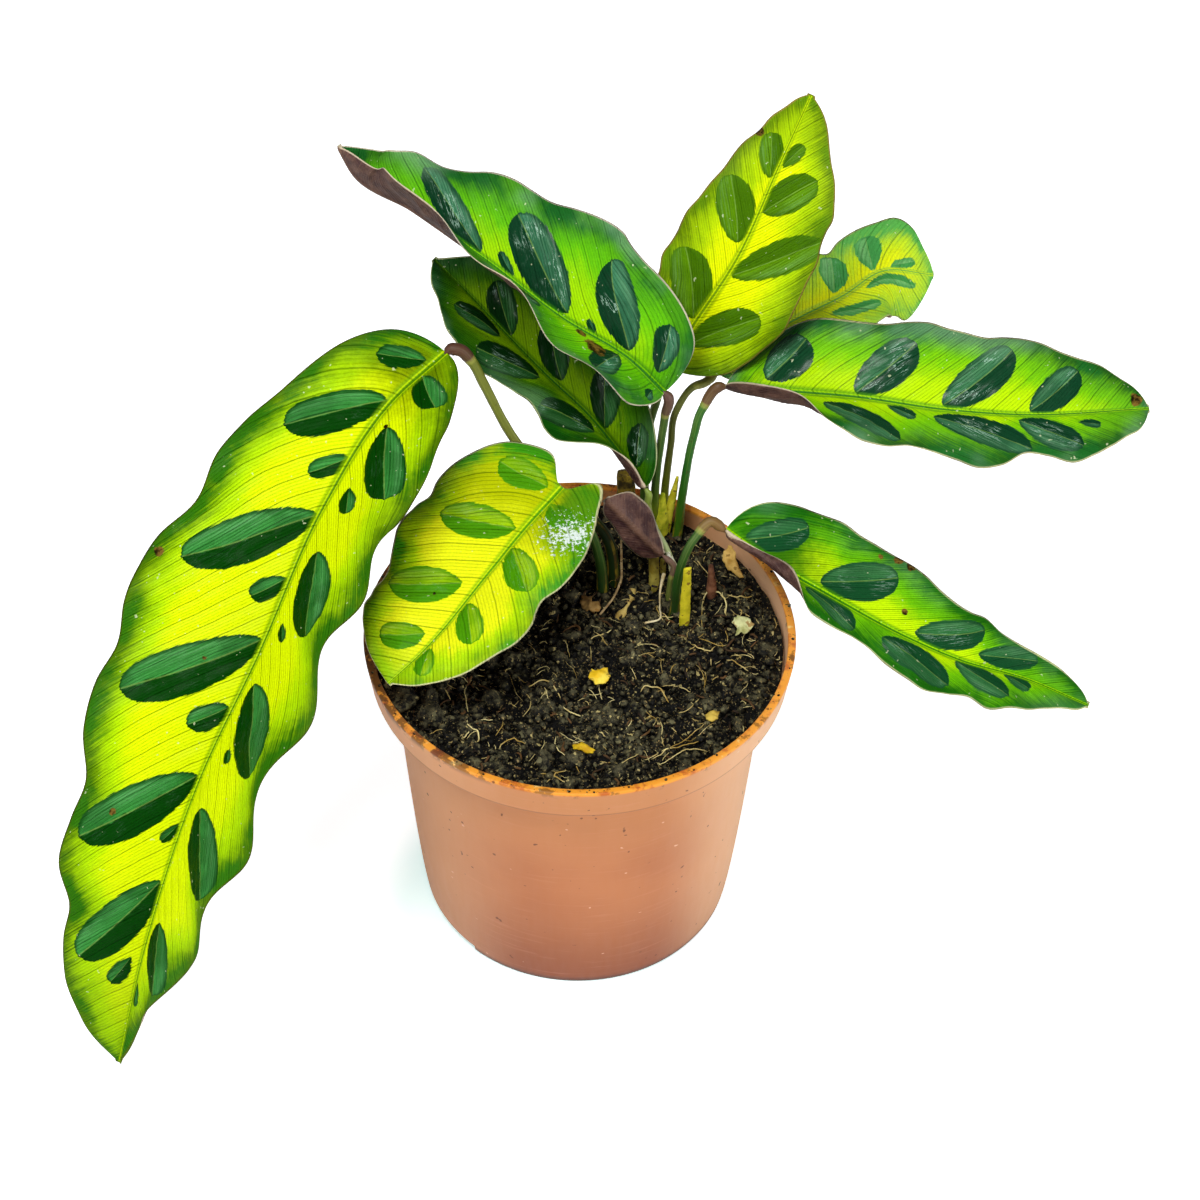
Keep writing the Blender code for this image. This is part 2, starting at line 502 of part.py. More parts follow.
# Small lying pieces: the same, with heights over the level of the soil; each is then lifted until it
# clears the soil's lumps by the gap
LYING = {
    "dry_rod": dict(
        places=[(11, 23.9, 18), (11.2, 23.9, 9), (11.2, 23, 3.2), (9.5, 18.5, 1.5), (5.5, 11.5, 0.9)],
        widths=[0.3, 0.35, 0.35, 0.3, 0.3], depths=[0.3, 0.35, 0.35, 0.3, 0.3], face=(1.0, 0.0, 0.1),
        colour="dry_brown"),
    "dry_thread": dict(
        places=[(23.3, 23.5, 5.5), (22.3, 20, 2.2), (22.2, 15, 1.2), (22.1, 10, 1.0), (18.1, 8.4, 1.0)],
        widths=[0.6, 0.35, 0.3, 0.3, 0.35], depths=[0.5, 0.35, 0.3, 0.3, 0.3], face=(0.0, 0.2, 1.0),
        colour="dry_straw"),
    "dry_sprout": dict(
        places=[(14.6, 21, 1.5), (14, 17.5, 1.2), (12.4, 13.5, 1.0), (10.3, 9.7, 1.0)],
        widths=[0.9, 1.0, 0.5, 0.5, 1.3, 0.7], depths=[0.5, 0.5, 0.4, 0.4, 0.5, 0.4],
        face=(0.0, -0.2, 1.0), colour="dry_straw"),
}

# Crumbs of dry leaf: middle, turn and lean in degrees, bulge, and a hand-drawn torn
# outline that runs clockwise
FLAKES = {
    "flake_1": dict(middle=(43.0, 29.5), turn=0, lean=35, bulge=0.8, outline=[
        (-3.2, 1.0), (-2.6, 4.0), (-0.4, 5.0), (0.6, 3.4), (1.0, 0.4), (3.0, -3.8), (0.8, -3.4),
        (-1.8, -1.2)]),
    "flake_2": dict(middle=(45.3, 6.6), turn=0, lean=12, bulge=0.6, outline=[
        (-3.1, 1.6), (-1.4, 3.2), (1.6, 2.6), (3.3, 0.4), (1.4, -1.8), (-1.9, -3.0), (-1.4, -0.4)]),
    "flake_3": dict(middle=(5.8, -13.3), turn=20, lean=8, bulge=0.9, outline=[
        (-2.6, 0.6), (-1.0, 2.4), (0.4, 1.4), (2.4, 1.8), (2.0, -0.6), (0.6, -2.2), (-1.6, -1.6)]),
    "flake_4": dict(middle=(1.6, -40.4), turn=-25, lean=0, bulge=1.2, outline=[
        (-3.4, 0.4), (-1.6, 1.6), (1.2, 1.7), (3.4, 0.8), (2.6, -0.8), (0.0, -0.9), (-2.4, -1.0)]),
    "flake_5": dict(middle=(2.9, 14.6), turn=0, lean=10, bulge=0.7, outline=[
        (-3.2, 0.2), (-2.6, 3.0), (0.2, 2.8), (0.2, 0.6), (2.2, 0.8), (3.0, -1.4), (0.8, -2.6),
        (-1.6, -2.0)]),
    "flake_6": dict(middle=(36.6, -27.0), turn=40, lean=6, bulge=0.6, outline=[
        (-2.2, 0.2), (-0.8, 1.7), (1.6, 1.4), (2.4, -0.2), (0.6, -1.6), (-1.4, -1.5)]),
}

COLOURS = {
    "leaf_green": ((0.25, 0.5, 0.03), 0.35),
    "leaf_purple": ((0.12, 0.05, 0.06), 0.5),
    "stalk_green": ((0.1, 0.2, 0.02), 0.45),
    "sheath_yellow": ((0.6, 0.5, 0.05), 0.6),
    "dry_brown": ((0.16, 0.08, 0.04), 0.8),
    "dry_straw": ((0.62, 0.48, 0.28), 0.8),
}


def stand(name, places, way, widths, depths, face, soil, material):
    """Bar that stands in a plain hole in the soil, a gap clear of it all round."""
    bar = add_object(name, make_mesh(name, *bar_mesh(places, way, widths, depths, face)), material)
    low = int(np.searchsorted(places[:, 2], SOIL_LEVEL + 6.0)) + 1
    buried = places[:low] - np.where(np.arange(low) == 0, GAP, 0.0)[:, None] * way[:low]
    hole = bar_mesh(buried, way[:low], widths[:low] + GAP, depths[:low] + GAP, face)
    cut(soil, add_object(f"{name}_hole", make_mesh(name, *hole), material))
    return bar


def stalk_path(leaf):
    """Places along a stalk: a root end under the soil, the hand-set places, then the blade's foot."""
    rib_start, rib_way = along(leaf["rib"], 0.0)
    face = np.asarray(leaf["face"][0], float)
    upward = unit(face - np.dot(face, rib_way) * rib_way)
    foot = rib_start - rib_way * GAP - upward * (KEEL / 2)
    approach = foot - rib_way * leaf.get("lead", 4.0)
    if leaf.get("under"):
        foot = rib_start + rib_way * UNDER_RIB - upward * (KEEL + BLADE / 2 + GAP)
        approach = foot - upward * 4.0
    root = np.asarray(leaf["stalk"][0], float) * (ROOT_LEAN, ROOT_LEAN, 1.0) - (0.0, 0.0, STEM_DEPTH)
    return np.array([root, *leaf["stalk"], approach, foot])


def add_leaves(soil, materials):
    """Every blade, and its round stalk with a thicker foot and top."""
    for name, leaf in LEAVES.items():
        purple = name == "leaf_9"
        add_object(f"{name}_blade", make_mesh(name, *blade_mesh(leaf)),
                   materials["leaf_purple" if purple else "leaf_green"])
        t = np.linspace(0.0, 1.0, STALK_ROWS)
        places, way = along(stalk_path(leaf), t)
        radii = leaf["stalk_radius"] * (1.0 + leaf.get("foot", 0.35) * (1.0 - t)**3
                                        - 0.15 * np.sin(math.pi * t))
        stand(f"{name}_stalk", places, way, radii, radii, np.array([0.0, -1.0, 0.3]), soil,
              materials["stalk_green"])


def add_standing(soil, materials):
    """Sheaths, stubs and the shoot that stand in the soil."""
    t = np.linspace(0.0, 1.0, SMALL_ROWS)
    for name, piece in STANDING.items():
        places, way = along(piece["places"], t)
        stand(name, places, way, smooth(piece["widths"], t), smooth(piece["depths"], t),
              np.asarray(piece["face"]), soil, materials[piece["colour"]])


def flake_mesh(flake):
    """Thin torn plate: its outline round a raised middle, with equal upper and lower faces."""
    turn = math.radians(flake["turn"])
    outline = np.asarray(flake["outline"], float) @ np.array([[math.cos(turn), math.sin(turn)],
                                                              [-math.sin(turn), math.cos(turn)]])
    inner = outline * 0.5
    flat = np.concatenate([[(0.0, 0.0)], inner, outline])
    count = len(outline)
    rise = np.concatenate([[1.0], np.full(count, 0.7), np.zeros(count)]) * flake["bulge"]
    lean = math.radians(flake["lean"])
    lower = np.column_stack([flat[:, 0] + flake["middle"][0],
                             flat[:, 1] * math.cos(lean) + flake["middle"][1],
                             rise + flat[:, 1] * math.sin(lean)])
    upper = lower + (0.0, 0.0, FLAKE)
    size = len(flat)
    faces = []
    for k in range(count):
        after = (k + 1) % count
        near, near_after = 1 + k, 1 + after
        far, far_after = 1 + count + k, 1 + count + after
        for ring in ([0, near, near_after], [near, far, near_after], [near_after, far, far_after]):
            faces.append(ring)
            faces.append([vertex + size for vertex in ring[::-1]])
        faces.append([far_after, far, far + size, far_after + size])
    return np.concatenate([lower, upper]), faces


def lay(name, vertices, faces, ground, material):
    """Piece laid on the soil: lifted until no corner is nearer to the ground than the gap."""
    lift = -math.inf
    for x, y, z in vertices:
        hit = ground.ray_cast(Vector((x, y, 2 * POT_HEIGHT)) * MM, Vector((0.0, 0.0, -1.0)))
        lift = max(lift, hit[0].z / MM - z)
    vertices = vertices + (0.0, 0.0, lift + GAP)
    return add_object(name, make_mesh(name, vertices, faces), material)


def add_lying(soil, materials):
    """Dry threads and torn crumbs on top of the soil."""
    ground = BVHTree.FromObject(soil, bpy.context.evaluated_depsgraph_get())
    t = np.linspace(0.0, 1.0, SMALL_ROWS)
    for name, piece in LYING.items():
        places, way = along(np.asarray(piece["places"]) + (0.0, 0.0, SOIL_LEVEL), t)
        bar = bar_mesh(places, way, smooth(piece["widths"], t), smooth(piece["depths"], t),
                       np.asarray(piece["face"]))
        lay(name, *bar, ground, materials[piece["colour"]])
    for name, flake in FLAKES.items():
        lay(name, *flake_mesh(flake), ground, materials["dry_straw"])


def main():
    """Clear the scene and build the plant."""
    for obj in list(bpy.data.objects):
        bpy.data.objects.remove(obj)
    materials = {name: make_material(name, *look) for name, look in COLOURS.items()}
    add_pot()
    soil = add_soil()
    add_leaves(soil, materials)
    add_standing(soil, materials)
    add_lying(soil, materials)


main()
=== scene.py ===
"""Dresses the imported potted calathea: a young rattlesnake plant in a 12 cm nursery pot.

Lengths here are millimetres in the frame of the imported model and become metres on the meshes.
Colours are written as screen values from 0 to 255 and become linear on the sockets.
"""
import math

import bmesh
import bpy
import numpy as np
from mathutils import Matrix, Vector


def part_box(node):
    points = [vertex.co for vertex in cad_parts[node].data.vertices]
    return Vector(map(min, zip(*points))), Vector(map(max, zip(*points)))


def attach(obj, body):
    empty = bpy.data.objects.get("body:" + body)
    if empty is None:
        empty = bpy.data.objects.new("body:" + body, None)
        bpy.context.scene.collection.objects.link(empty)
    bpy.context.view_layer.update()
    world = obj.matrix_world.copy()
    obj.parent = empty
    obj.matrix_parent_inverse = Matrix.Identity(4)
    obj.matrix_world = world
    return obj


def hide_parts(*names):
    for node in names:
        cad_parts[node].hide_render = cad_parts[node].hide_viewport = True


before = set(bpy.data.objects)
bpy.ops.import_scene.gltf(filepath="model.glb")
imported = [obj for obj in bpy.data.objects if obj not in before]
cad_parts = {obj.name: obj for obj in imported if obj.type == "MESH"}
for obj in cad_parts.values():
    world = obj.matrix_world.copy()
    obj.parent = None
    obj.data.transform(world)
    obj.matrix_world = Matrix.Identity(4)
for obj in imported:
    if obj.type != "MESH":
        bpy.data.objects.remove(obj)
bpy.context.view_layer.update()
MM = 0.001


# Pot
# A thin nursery pot of terracotta-coloured plastic, moulded in one shot: a straight collar over a
# slightly bulged body, a raised floor with drain holes, and two shallow notches in the foot.
POT_HEIGHT = 100.0
RIM_RADIUS = 60.0
COLLAR_FOOT = 89.4
COLLAR_FOOT_RADIUS = 58.6
BODY_TOP_RADIUS = 52.2
BASE_RADIUS = 44.0
WALL = 1.5
LIP_WIDTH = 2.2
FLOOR_LIFT = 3.0
PAD_RADIUS = 22.0
POT_SIDES = 240
DRAIN_HOLES = 8
DRAIN_RADIUS = 4.0
DRAIN_CIRCLE = 32.0
NOTCH_ANGLES = (-148.0, 32.0)
NOTCH_WIDTH = 26.0
NOTCH_HEIGHT = 2.2


def screen(red, green, blue):
    """Linear colour from screen values: each is taken to the power 2.4 past the dark toe."""
    share = np.array([red, green, blue]) / 255.0
    linear = np.where(share <= 0.04045, share / 12.92, ((share + 0.055) / 1.055)**2.4)
    return (*linear.tolist(), 1.0)


class Wiring:
    """Adds nodes to a shader tree. A socket given as a value is linked, any other value is set."""

    def __init__(self, tree):
        self.tree = tree

    def link(self, result, socket):
        """Joins one node's result to another node's socket."""
        self.tree.links.new(result, socket)

    def node(self, kind, values=None, **settings):
        """New node with its settings and the values of its inputs, by name or number."""
        made = self.tree.nodes.new("ShaderNode" + kind)
        for key, value in settings.items():
            setattr(made, key, value)
        for key, value in (values or {}).items():
            if isinstance(value, bpy.types.NodeSocket):
                self.link(value, made.inputs[key])
            else:
                made.inputs[key].default_value = value
        return made

    def maths(self, operation, a, b=0.0):
        """One operation on one or two numbers."""
        return self.node("Math", {0: a, 1: b}, operation=operation).outputs[0]

    def plus(self, a, b):
        """Sum of two numbers."""
        return self.maths("ADD", a, b)

    def minus(self, a, b):
        """Number a less number b."""
        return self.maths("SUBTRACT", a, b)

    def times(self, a, b):
        """Product of two numbers."""
        return self.maths("MULTIPLY", a, b)

    def over(self, a, b):
        """Number a divided by number b."""
        return self.maths("DIVIDE", a, b)

    def absolute(self, value):
        """The number without its sign."""
        return self.maths("ABSOLUTE", value)

    def around(self, noise, width):
        """Noise from 0 to 1 turned into a swing of the given width round nothing."""
        return self.times(self.minus(noise, 0.5), width)

    def step(self, value, low, high):
        """Smooth step from 0 at low to 1 at high; it falls where low is the larger."""
        if not isinstance(low, bpy.types.NodeSocket) and low > high:
            rising = self.step(value, high, low)
            return self.minus(1.0, rising)
        return self.node("MapRange", {"Value": value, "From Min": low, "From Max": high},
                         interpolation_type="SMOOTHSTEP").outputs[0]

    def mix(self, share, a, b, blend="MIX"):
        """Colour a turned into colour b by the share; a plain triple is a screen colour."""
        a, b = (screen(*tone) if isinstance(tone, tuple) and len(tone) == 3 else tone for tone in (a, b))
        made = self.node("Mix", {0: share, 6: a, 7: b}, data_type="RGBA", blend_type=blend)
        return made.outputs[2]

    def paint(self, colour, *layers):
        """Colour under layers laid over it in turn, each a mask, its strength and its tone."""
        for mask, strength, tone in layers:
            colour = self.mix(self.times(mask, strength), colour, tone)
        return colour

    def ramp(self, value, low, high, start=0.0, end=1.0):
        """Straight scale, held at its ends: low where the value is start, high where it is end."""
        return self.node("MapRange", {"Value": value, "From Min": start, "From Max": end,
                                      "To Min": low, "To Max": high}).outputs[0]

    def noise(self, vector, scale, detail=2.0, rough=0.5):
        """Smooth noise round 0.5; scale counts features in each unit of the vector."""
        return self.node("TexNoise", {"Vector": vector, "Scale": scale, "Detail": detail,
                                      "Roughness": rough}).outputs[0]

    def place(self):
        """Object coordinates."""
        return self.node("TexCoord").outputs["Object"]

    def read(self, name):
        """A number stored on the mesh's points."""
        return self.node("Attribute", attribute_name=name).outputs["Fac"]

    def stretch(self, vector, scale):
        """Vector scaled along its axes."""
        return self.node("VectorMath", {0: vector, 1: scale}, operation="MULTIPLY").outputs[0]


def new_material(name, **constants):
    """Principled material, its wiring and its shader; constants are set on the shader's sockets."""
    material = bpy.data.materials.new(name)
    material.use_nodes = True
    shader = material.node_tree.nodes["Principled BSDF"]
    for socket, value in constants.items():
        shader.inputs[socket.replace("_", " ")].default_value = value
    return material, Wiring(material.node_tree), shader


def link_finish(w, shader, colour, rough, height, strength, depth):
    """Links colour, roughness and the bump of a height, as deep as given in metres, to the shader."""
    bump = w.node("Bump", {"Strength": strength, "Distance": depth, "Height": height})
    for result, socket in ((colour, "Base Color"), (rough, "Roughness"), (bump.outputs[0], "Normal")):
        w.link(result, shader.inputs[socket])


def new_group(name, inputs, outputs):
    """Node group with named sockets: its tree, its wiring, its input sockets and its output node."""
    tree = bpy.data.node_groups.new(name, "ShaderNodeTree")
    for socket, kind in inputs.items():
        tree.interface.new_socket(socket, in_out="INPUT", socket_type="NodeSocket" + kind)
    for socket, kind in outputs.items():
        tree.interface.new_socket(socket, in_out="OUTPUT", socket_type="NodeSocket" + kind)
    given = tree.nodes.new("NodeGroupInput").outputs
    return tree, Wiring(tree), given, tree.nodes.new("NodeGroupOutput")


def sheet_faces(rows, columns, around=False):
    """Four-cornered faces of a grid numbered row by row; around joins the last column to the first."""
    index = np.arange(rows * columns).reshape(rows, columns)
    if around:
        index = np.concatenate([index, index[:, :1]], axis=1)
    return np.stack([index[:-1, :-1].ravel(), index[:-1, 1:].ravel(), index[1:, 1:].ravel(),
                     index[1:, :-1].ravel()], 1)


def closed_rings(rings, first, last):
    """Skin over rings of points that all turn the same way, closed by a point before and after."""
    rows, around = rings.shape[:2]
    ring = np.arange(around)
    after = np.roll(ring, -1)
    end = (rows - 1) * around
    low = np.full(around, rows * around)
    fans = np.concatenate([np.stack([low, after, ring], 1),
                           np.stack([low + 1, end + ring, end + after], 1)])
    places = np.concatenate([rings.reshape(-1, 3), [first], [last]])
    return places, sheet_faces(rows, around, True).tolist() + fans.tolist()


def turned_rings(profile, angles):
    """Rings of a profile of radius and height carried round the Z axis."""
    radius, height = np.asarray(profile).T
    return np.stack([radius[:, None] * np.cos(angles), radius[:, None] * np.sin(angles),
                     np.broadcast_to(height[:, None], (len(radius), len(angles)))], axis=-1)


def new_piece(name, places, faces, materials, numbers=None):
    """Smooth object at the origin from places in millimetres, with numbers stored on its points."""
    mesh = bpy.data.meshes.new(name)
    mesh.from_pydata((np.asarray(places) * MM).tolist(), [], faces)
    for label, values in (numbers or {}).items():
        mesh.attributes.new(label, "FLOAT", "POINT").data.foreach_set(
            "value", np.asarray(values, np.float32).ravel())
    for material in materials:
        mesh.materials.append(material)
    mesh.shade_smooth()
    piece = bpy.data.objects.new(name, mesh)
    bpy.context.scene.collection.objects.link(piece)
    return piece


def body_radius(height):
    """Radius of the pot's side: the foot's, plus the spread times height's share to the power 3/4."""
    share = np.clip(height / COLLAR_FOOT, 0.0, 1.0)
    return BASE_RADIUS + (BODY_TOP_RADIUS - BASE_RADIUS) * share**0.75


def corner(centre, radius, start, end, count=5):
    """Points of a small rounding: a circle's arc between two angles in degrees."""
    angle = np.radians(np.linspace(start, end, count))
    return np.stack([centre[0] + radius * np.cos(angle), centre[1] + radius * np.sin(angle)], 1)


def pot_profile():
    """The wall's outline from under the floor's middle, out and up outside, over the lip and back."""
    heights = np.linspace(1.0, COLLAR_FOOT - 1.0, 44)
    floor_top = FLOOR_LIFT + WALL
    lip = RIM_RADIUS - 0.6
    inner = RIM_RADIUS - LIP_WIDTH
    back = np.linspace(COLLAR_FOOT - 1.0, floor_top + 1.0, 24)
    parts = [
        [(0.4, 0.0), (PAD_RADIUS - 0.4, 0.0)], corner((PAD_RADIUS, 0.8), 0.8, -90, -20),
        [(PAD_RADIUS + 2.0, FLOOR_LIFT)],
        [(BASE_RADIUS - 1.9, FLOOR_LIFT), (BASE_RADIUS - 1.7, FLOOR_LIFT - 0.4),
         (BASE_RADIUS - 1.6, 1.4)],
        corner((BASE_RADIUS - 1.2, 0.4), 0.4, 180, 270), corner((BASE_RADIUS - 0.6, 0.6), 0.6, -90, 0),
        np.stack([body_radius(heights), heights], 1),
        corner((BODY_TOP_RADIUS + 0.9, COLLAR_FOOT - 0.9), 0.9, 180, 95, 4),
        [(COLLAR_FOOT_RADIUS - 0.9, COLLAR_FOOT)],
        corner((COLLAR_FOOT_RADIUS - 0.5, COLLAR_FOOT + 0.5), 0.5, -90, 0),
        np.stack([np.linspace(COLLAR_FOOT_RADIUS + 0.1, RIM_RADIUS - 0.1, 8),
                  np.linspace(COLLAR_FOOT + 1.2, POT_HEIGHT - 1.4, 8)], 1),
        corner((lip, POT_HEIGHT - 0.6), 0.6, 0, 90), [(RIM_RADIUS - 1.3, POT_HEIGHT - 0.05)],
        corner((inner + 0.35, POT_HEIGHT - 0.35), 0.35, 90, 180, 4),
        [(inner - 0.1, POT_HEIGHT - 1.4), (COLLAR_FOOT_RADIUS - WALL + 0.1, COLLAR_FOOT + WALL + 1.4)],
        corner((COLLAR_FOOT_RADIUS - WALL - 0.6, COLLAR_FOOT + WALL + 0.6), 0.6, 0, -90, 4),
        [(BODY_TOP_RADIUS - WALL + 0.4, COLLAR_FOOT + WALL),
         (BODY_TOP_RADIUS - WALL, COLLAR_FOOT + WALL - 0.5)],
        np.stack([body_radius(back) - WALL, back], 1),
        [(body_radius(floor_top) - WALL - 0.6, floor_top), (PAD_RADIUS + 1.4, floor_top),
         (PAD_RADIUS - 0.6, WALL), (0.4, WALL)],
    ]
    return np.concatenate([np.asarray(part, float) for part in parts])


def notched(rings):
    """Rings with the foot lifted to the notch height between the notch's two straight sides."""
    x, y, z = np.moveaxis(rings, -1, 0)
    for degrees in NOTCH_ANGLES:
        angle = math.radians(degrees)
        ahead = x * math.cos(angle) + y * math.sin(angle)
        aside = np.abs(y * math.cos(angle) - x * math.sin(angle))
        foot = (ahead > BASE_RADIUS - 8.0) & (np.hypot(x, y) > BASE_RADIUS - 3.0)
        z = np.where(foot & (aside < NOTCH_WIDTH / 2), np.maximum(z, NOTCH_HEIGHT), z)
    return np.stack([x, y, z], -1)


def notch_edges():
    """Angles just inside and outside each side of the notches, so that the steps are steep."""
    half = math.asin(NOTCH_WIDTH / 2 / BASE_RADIUS)
    return [math.radians(degrees) + side * half * share
            for degrees in NOTCH_ANGLES for side in (-1, 1) for share in (0.99, 1.006)]


def drilled(piece):
    """Drain holes cut through the floor by one exact Boolean."""
    bm = bmesh.new()
    for number in range(DRAIN_HOLES):
        angle = 2 * math.pi * (number + 0.5) / DRAIN_HOLES
        centre = Vector((math.cos(angle), math.sin(angle), 0.0)) * DRAIN_CIRCLE * MM
        centre.z = FLOOR_LIFT * MM
        bmesh.ops.create_cone(bm, cap_ends=True, segments=28, radius1=DRAIN_RADIUS * MM,
                              radius2=DRAIN_RADIUS * MM, depth=8 * MM, matrix=Matrix.Translation(centre))
    mesh = bpy.data.meshes.new("drain_drills")
    bm.to_mesh(mesh)
    bm.free()
    drills = bpy.data.objects.new("drain_drills", mesh)
    bpy.context.scene.collection.objects.link(drills)
    modifier = piece.modifiers.new("drain_holes", "BOOLEAN")
    modifier.operation = "DIFFERENCE"
    modifier.solver = "EXACT"
    modifier.object = drills
    bpy.context.view_layer.update()
    result = bpy.data.meshes.new_from_object(piece.evaluated_get(bpy.context.evaluated_depsgraph_get()))
    piece.modifiers.clear()
    piece.data = result
    bpy.data.objects.remove(drills)
    result.set_sharp_from_angle(angle=math.radians(38))


def pot_plastic():
    """Matte orange-brown plastic: cloudy, with painted light paler towards the top and at both sides,
    more on the right, and painted shade darker towards the foot.

    It has fine level streaks, dark specks, pale chips and scuffs, a painted shadow line under the
    collar's step, painted shade in a dark band at the foot, an amber lip with painted highlights and
    smears of soil.
    """
    material, w, shader = new_material("terracotta_plastic", IOR=1.47)
    place = w.place()
    parts = w.node("SeparateXYZ", {0: place}).outputs
    sideways, height = (w.times(parts[axis], 1000.0) for axis in (0, 2))
    cloud = w.noise(place, 28.0, 3.0)
    fine = w.noise(place, 900.0, 2.0)
    streak = w.noise(w.stretch(place, (60.0, 60.0, 900.0)), 1.0, 3.0)
    # Noise that shifts the lip's amber and lays patches of painted highlight on it
    lip_mottle_and_glare = w.noise(place, 170.0, 4.0, 0.65)
    amber = w.mix(w.step(lip_mottle_and_glare, 0.36, 0.5), (196, 96, 16), (246, 160, 36))
    amber = w.mix(w.step(lip_mottle_and_glare, 0.6, 0.7), amber, (255, 216, 130))
    speck = w.noise(place, 420.0, 1.0)
    chip = w.noise(w.stretch(place, (1.0, 1.0, 1.6)), 300.0, 1.0)
    dirt = w.plus(w.noise(place, 190.0, 4.0, 0.65), w.times(w.step(sideways, 0.0, -50.0), 0.12))
    under_lip = w.step(w.plus(height, w.times(cloud, 6.0)), 99.5, 103.5)
    colour = w.paint(
        w.mix(w.step(cloud, 0.3, 0.7), (186, 112, 66), (198, 124, 76)),
        # Painted light: paler towards the top
        (w.step(height, 50.0, 96.0), 0.5, (220, 152, 92)),
        # Painted shade: darker towards the foot
        (w.step(height, 50.0, -5.0), 0.95, (138, 72, 40)),
        # Painted light: paler at both sides, and more on the right
        (w.step(w.absolute(w.minus(sideways, 4.0)), 16.0, 52.0), 0.65, (246, 188, 142)),
        (w.step(sideways, 22.0, 56.0), 0.5, (255, 212, 168)),
        (w.step(streak, 0.55, 0.8), 0.18, (222, 155, 124)),
        # The amber lip, partly its own colour and partly painted highlight
        (w.step(height, 98.7, 99.7), 0.9, amber),
        # Painted shadow: a dark line under the collar's step
        (w.step(w.absolute(w.minus(height, COLLAR_FOOT + 0.5)), 0.45, 0.15), 0.45, (136, 76, 44)),
        # Painted shade: a dark band at the very foot, as a contact shadow
        (w.step(height, 3.4, 0.8), 0.8, (78, 38, 20)),
        (w.step(speck, 0.745, 0.79), 0.75, (92, 44, 26)),
        (w.step(chip, 0.77, 0.8), 0.7, (244, 205, 178)),
        (w.times(w.step(dirt, 0.55, 0.62), under_lip), 0.8, (70, 40, 24)))
    scuff = w.noise(w.stretch(place, (500.0, 500.0, 90.0)), 1.0, 2.0)
    link_finish(w, shader, colour, w.ramp(scuff, 0.42, 0.62), w.plus(fine, streak), 0.25, 0.00008)
    return material


pot_angles = np.linspace(-math.pi, math.pi, POT_SIDES, endpoint=False)
pot_angles = np.sort(np.concatenate([pot_angles, notch_edges()]))
pot_rings = notched(turned_rings(pot_profile(), pot_angles))
pot = new_piece("nursery_pot", *closed_rings(pot_rings, (0.0, 0.0, 0.0), (0.0, 0.0, WALL)),
                [pot_plastic()])
drilled(pot)
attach(pot, "root")
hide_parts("pot")


# Soil
# Dark damp peat pressed in by hand to just under the lip: a lumpy bed under crumbs and clods of all
# sizes, with pale roots and splinters of bark lying on it and a few crumbs spilt on the lip.
SOIL_LEVEL = 94.3
SOIL_EDGE = 56.6
SOIL_FOOT = 1.9
SOIL_SHELF = 5.0
SOIL_STEP = 0.5
SOIL_SIDES = 640
SOIL_SEED = 7
HEAP_RADIUS = 54.8
THREAD_RADIUS = 54.0
THREAD_LIMIT = 55.6
THREAD_POINTS = 12
ROOT_POINTS = 26


def chance(x, y, size, seed):
    """Smooth random heights from -1 to 1: chance values at square corners, blended by cubic weights."""
    table = np.random.default_rng(seed).uniform(-1.0, 1.0, (256, 256))
    u, v = np.asarray(x) / size + 80.3, np.asarray(y) / size + 91.7
    i, j = np.floor(u).astype(int), np.floor(v).astype(int)
    f, g = u - i, v - j
    f, g = f * f * (3 - 2 * f), g * g * (3 - 2 * g)
    a, b = table[i % 256, j % 256], table[(i + 1) % 256, j % 256]
    c, d = table[i % 256, (j + 1) % 256], table[(i + 1) % 256, (j + 1) % 256]
    return (a * (1 - f) + b * f) * (1 - g) + (c * (1 - f) + d * f) * g


def soil_bed(x, y):
    """Lumpy bed with a mound under the stalks: three slow waves and a bell-shaped rise.

    Both are lowered by up to seven tenths towards the wall.
    """
    lumps = (0.7 * np.sin(0.23 * x + 1.3) * np.cos(0.19 * y - 0.4)
             + 0.5 * np.sin(0.41 * x - 0.33 * y) + 0.3 * np.cos(0.62 * y + 0.2 * x))
    mound = 3.0 * np.exp(-((x - 21.0)**2 + (y - 40.0)**2) / 14.0**2)
    edge = np.clip((np.hypot(x, y) - 46.0) / 9.0, 0.0, 1.0)
    return SOIL_LEVEL + (lumps + mound) * (1.0 - 0.7 * edge)


def soil_top(x, y):
    """The bed roughened by chance heights at four sizes, the two largest ridged, and by pits.

    The roughness falls to about a third of its height at the wall.
    """
    clods = 1.0 - 2.0 * np.abs(chance(x, y, 5.5, 1))
    rough = 0.9 * clods + 0.8 * (0.6 - np.abs(chance(x, y, 2.6, 2)) * 1.6)
    rough += 0.45 * chance(x, y, 1.2, 3) + 0.3 * chance(x, y, 0.6, 4)
    pits = np.clip(chance(x, y, 7.5, 5) - 0.25, 0.0, 1.0)
    wall = np.clip((SOIL_EDGE - np.hypot(x, y)) / 3.0, 0.0, 1.0)
    return soil_bed(x, y) + (rough - 3.4 * pits) * (0.35 + 0.65 * wall) - 0.3


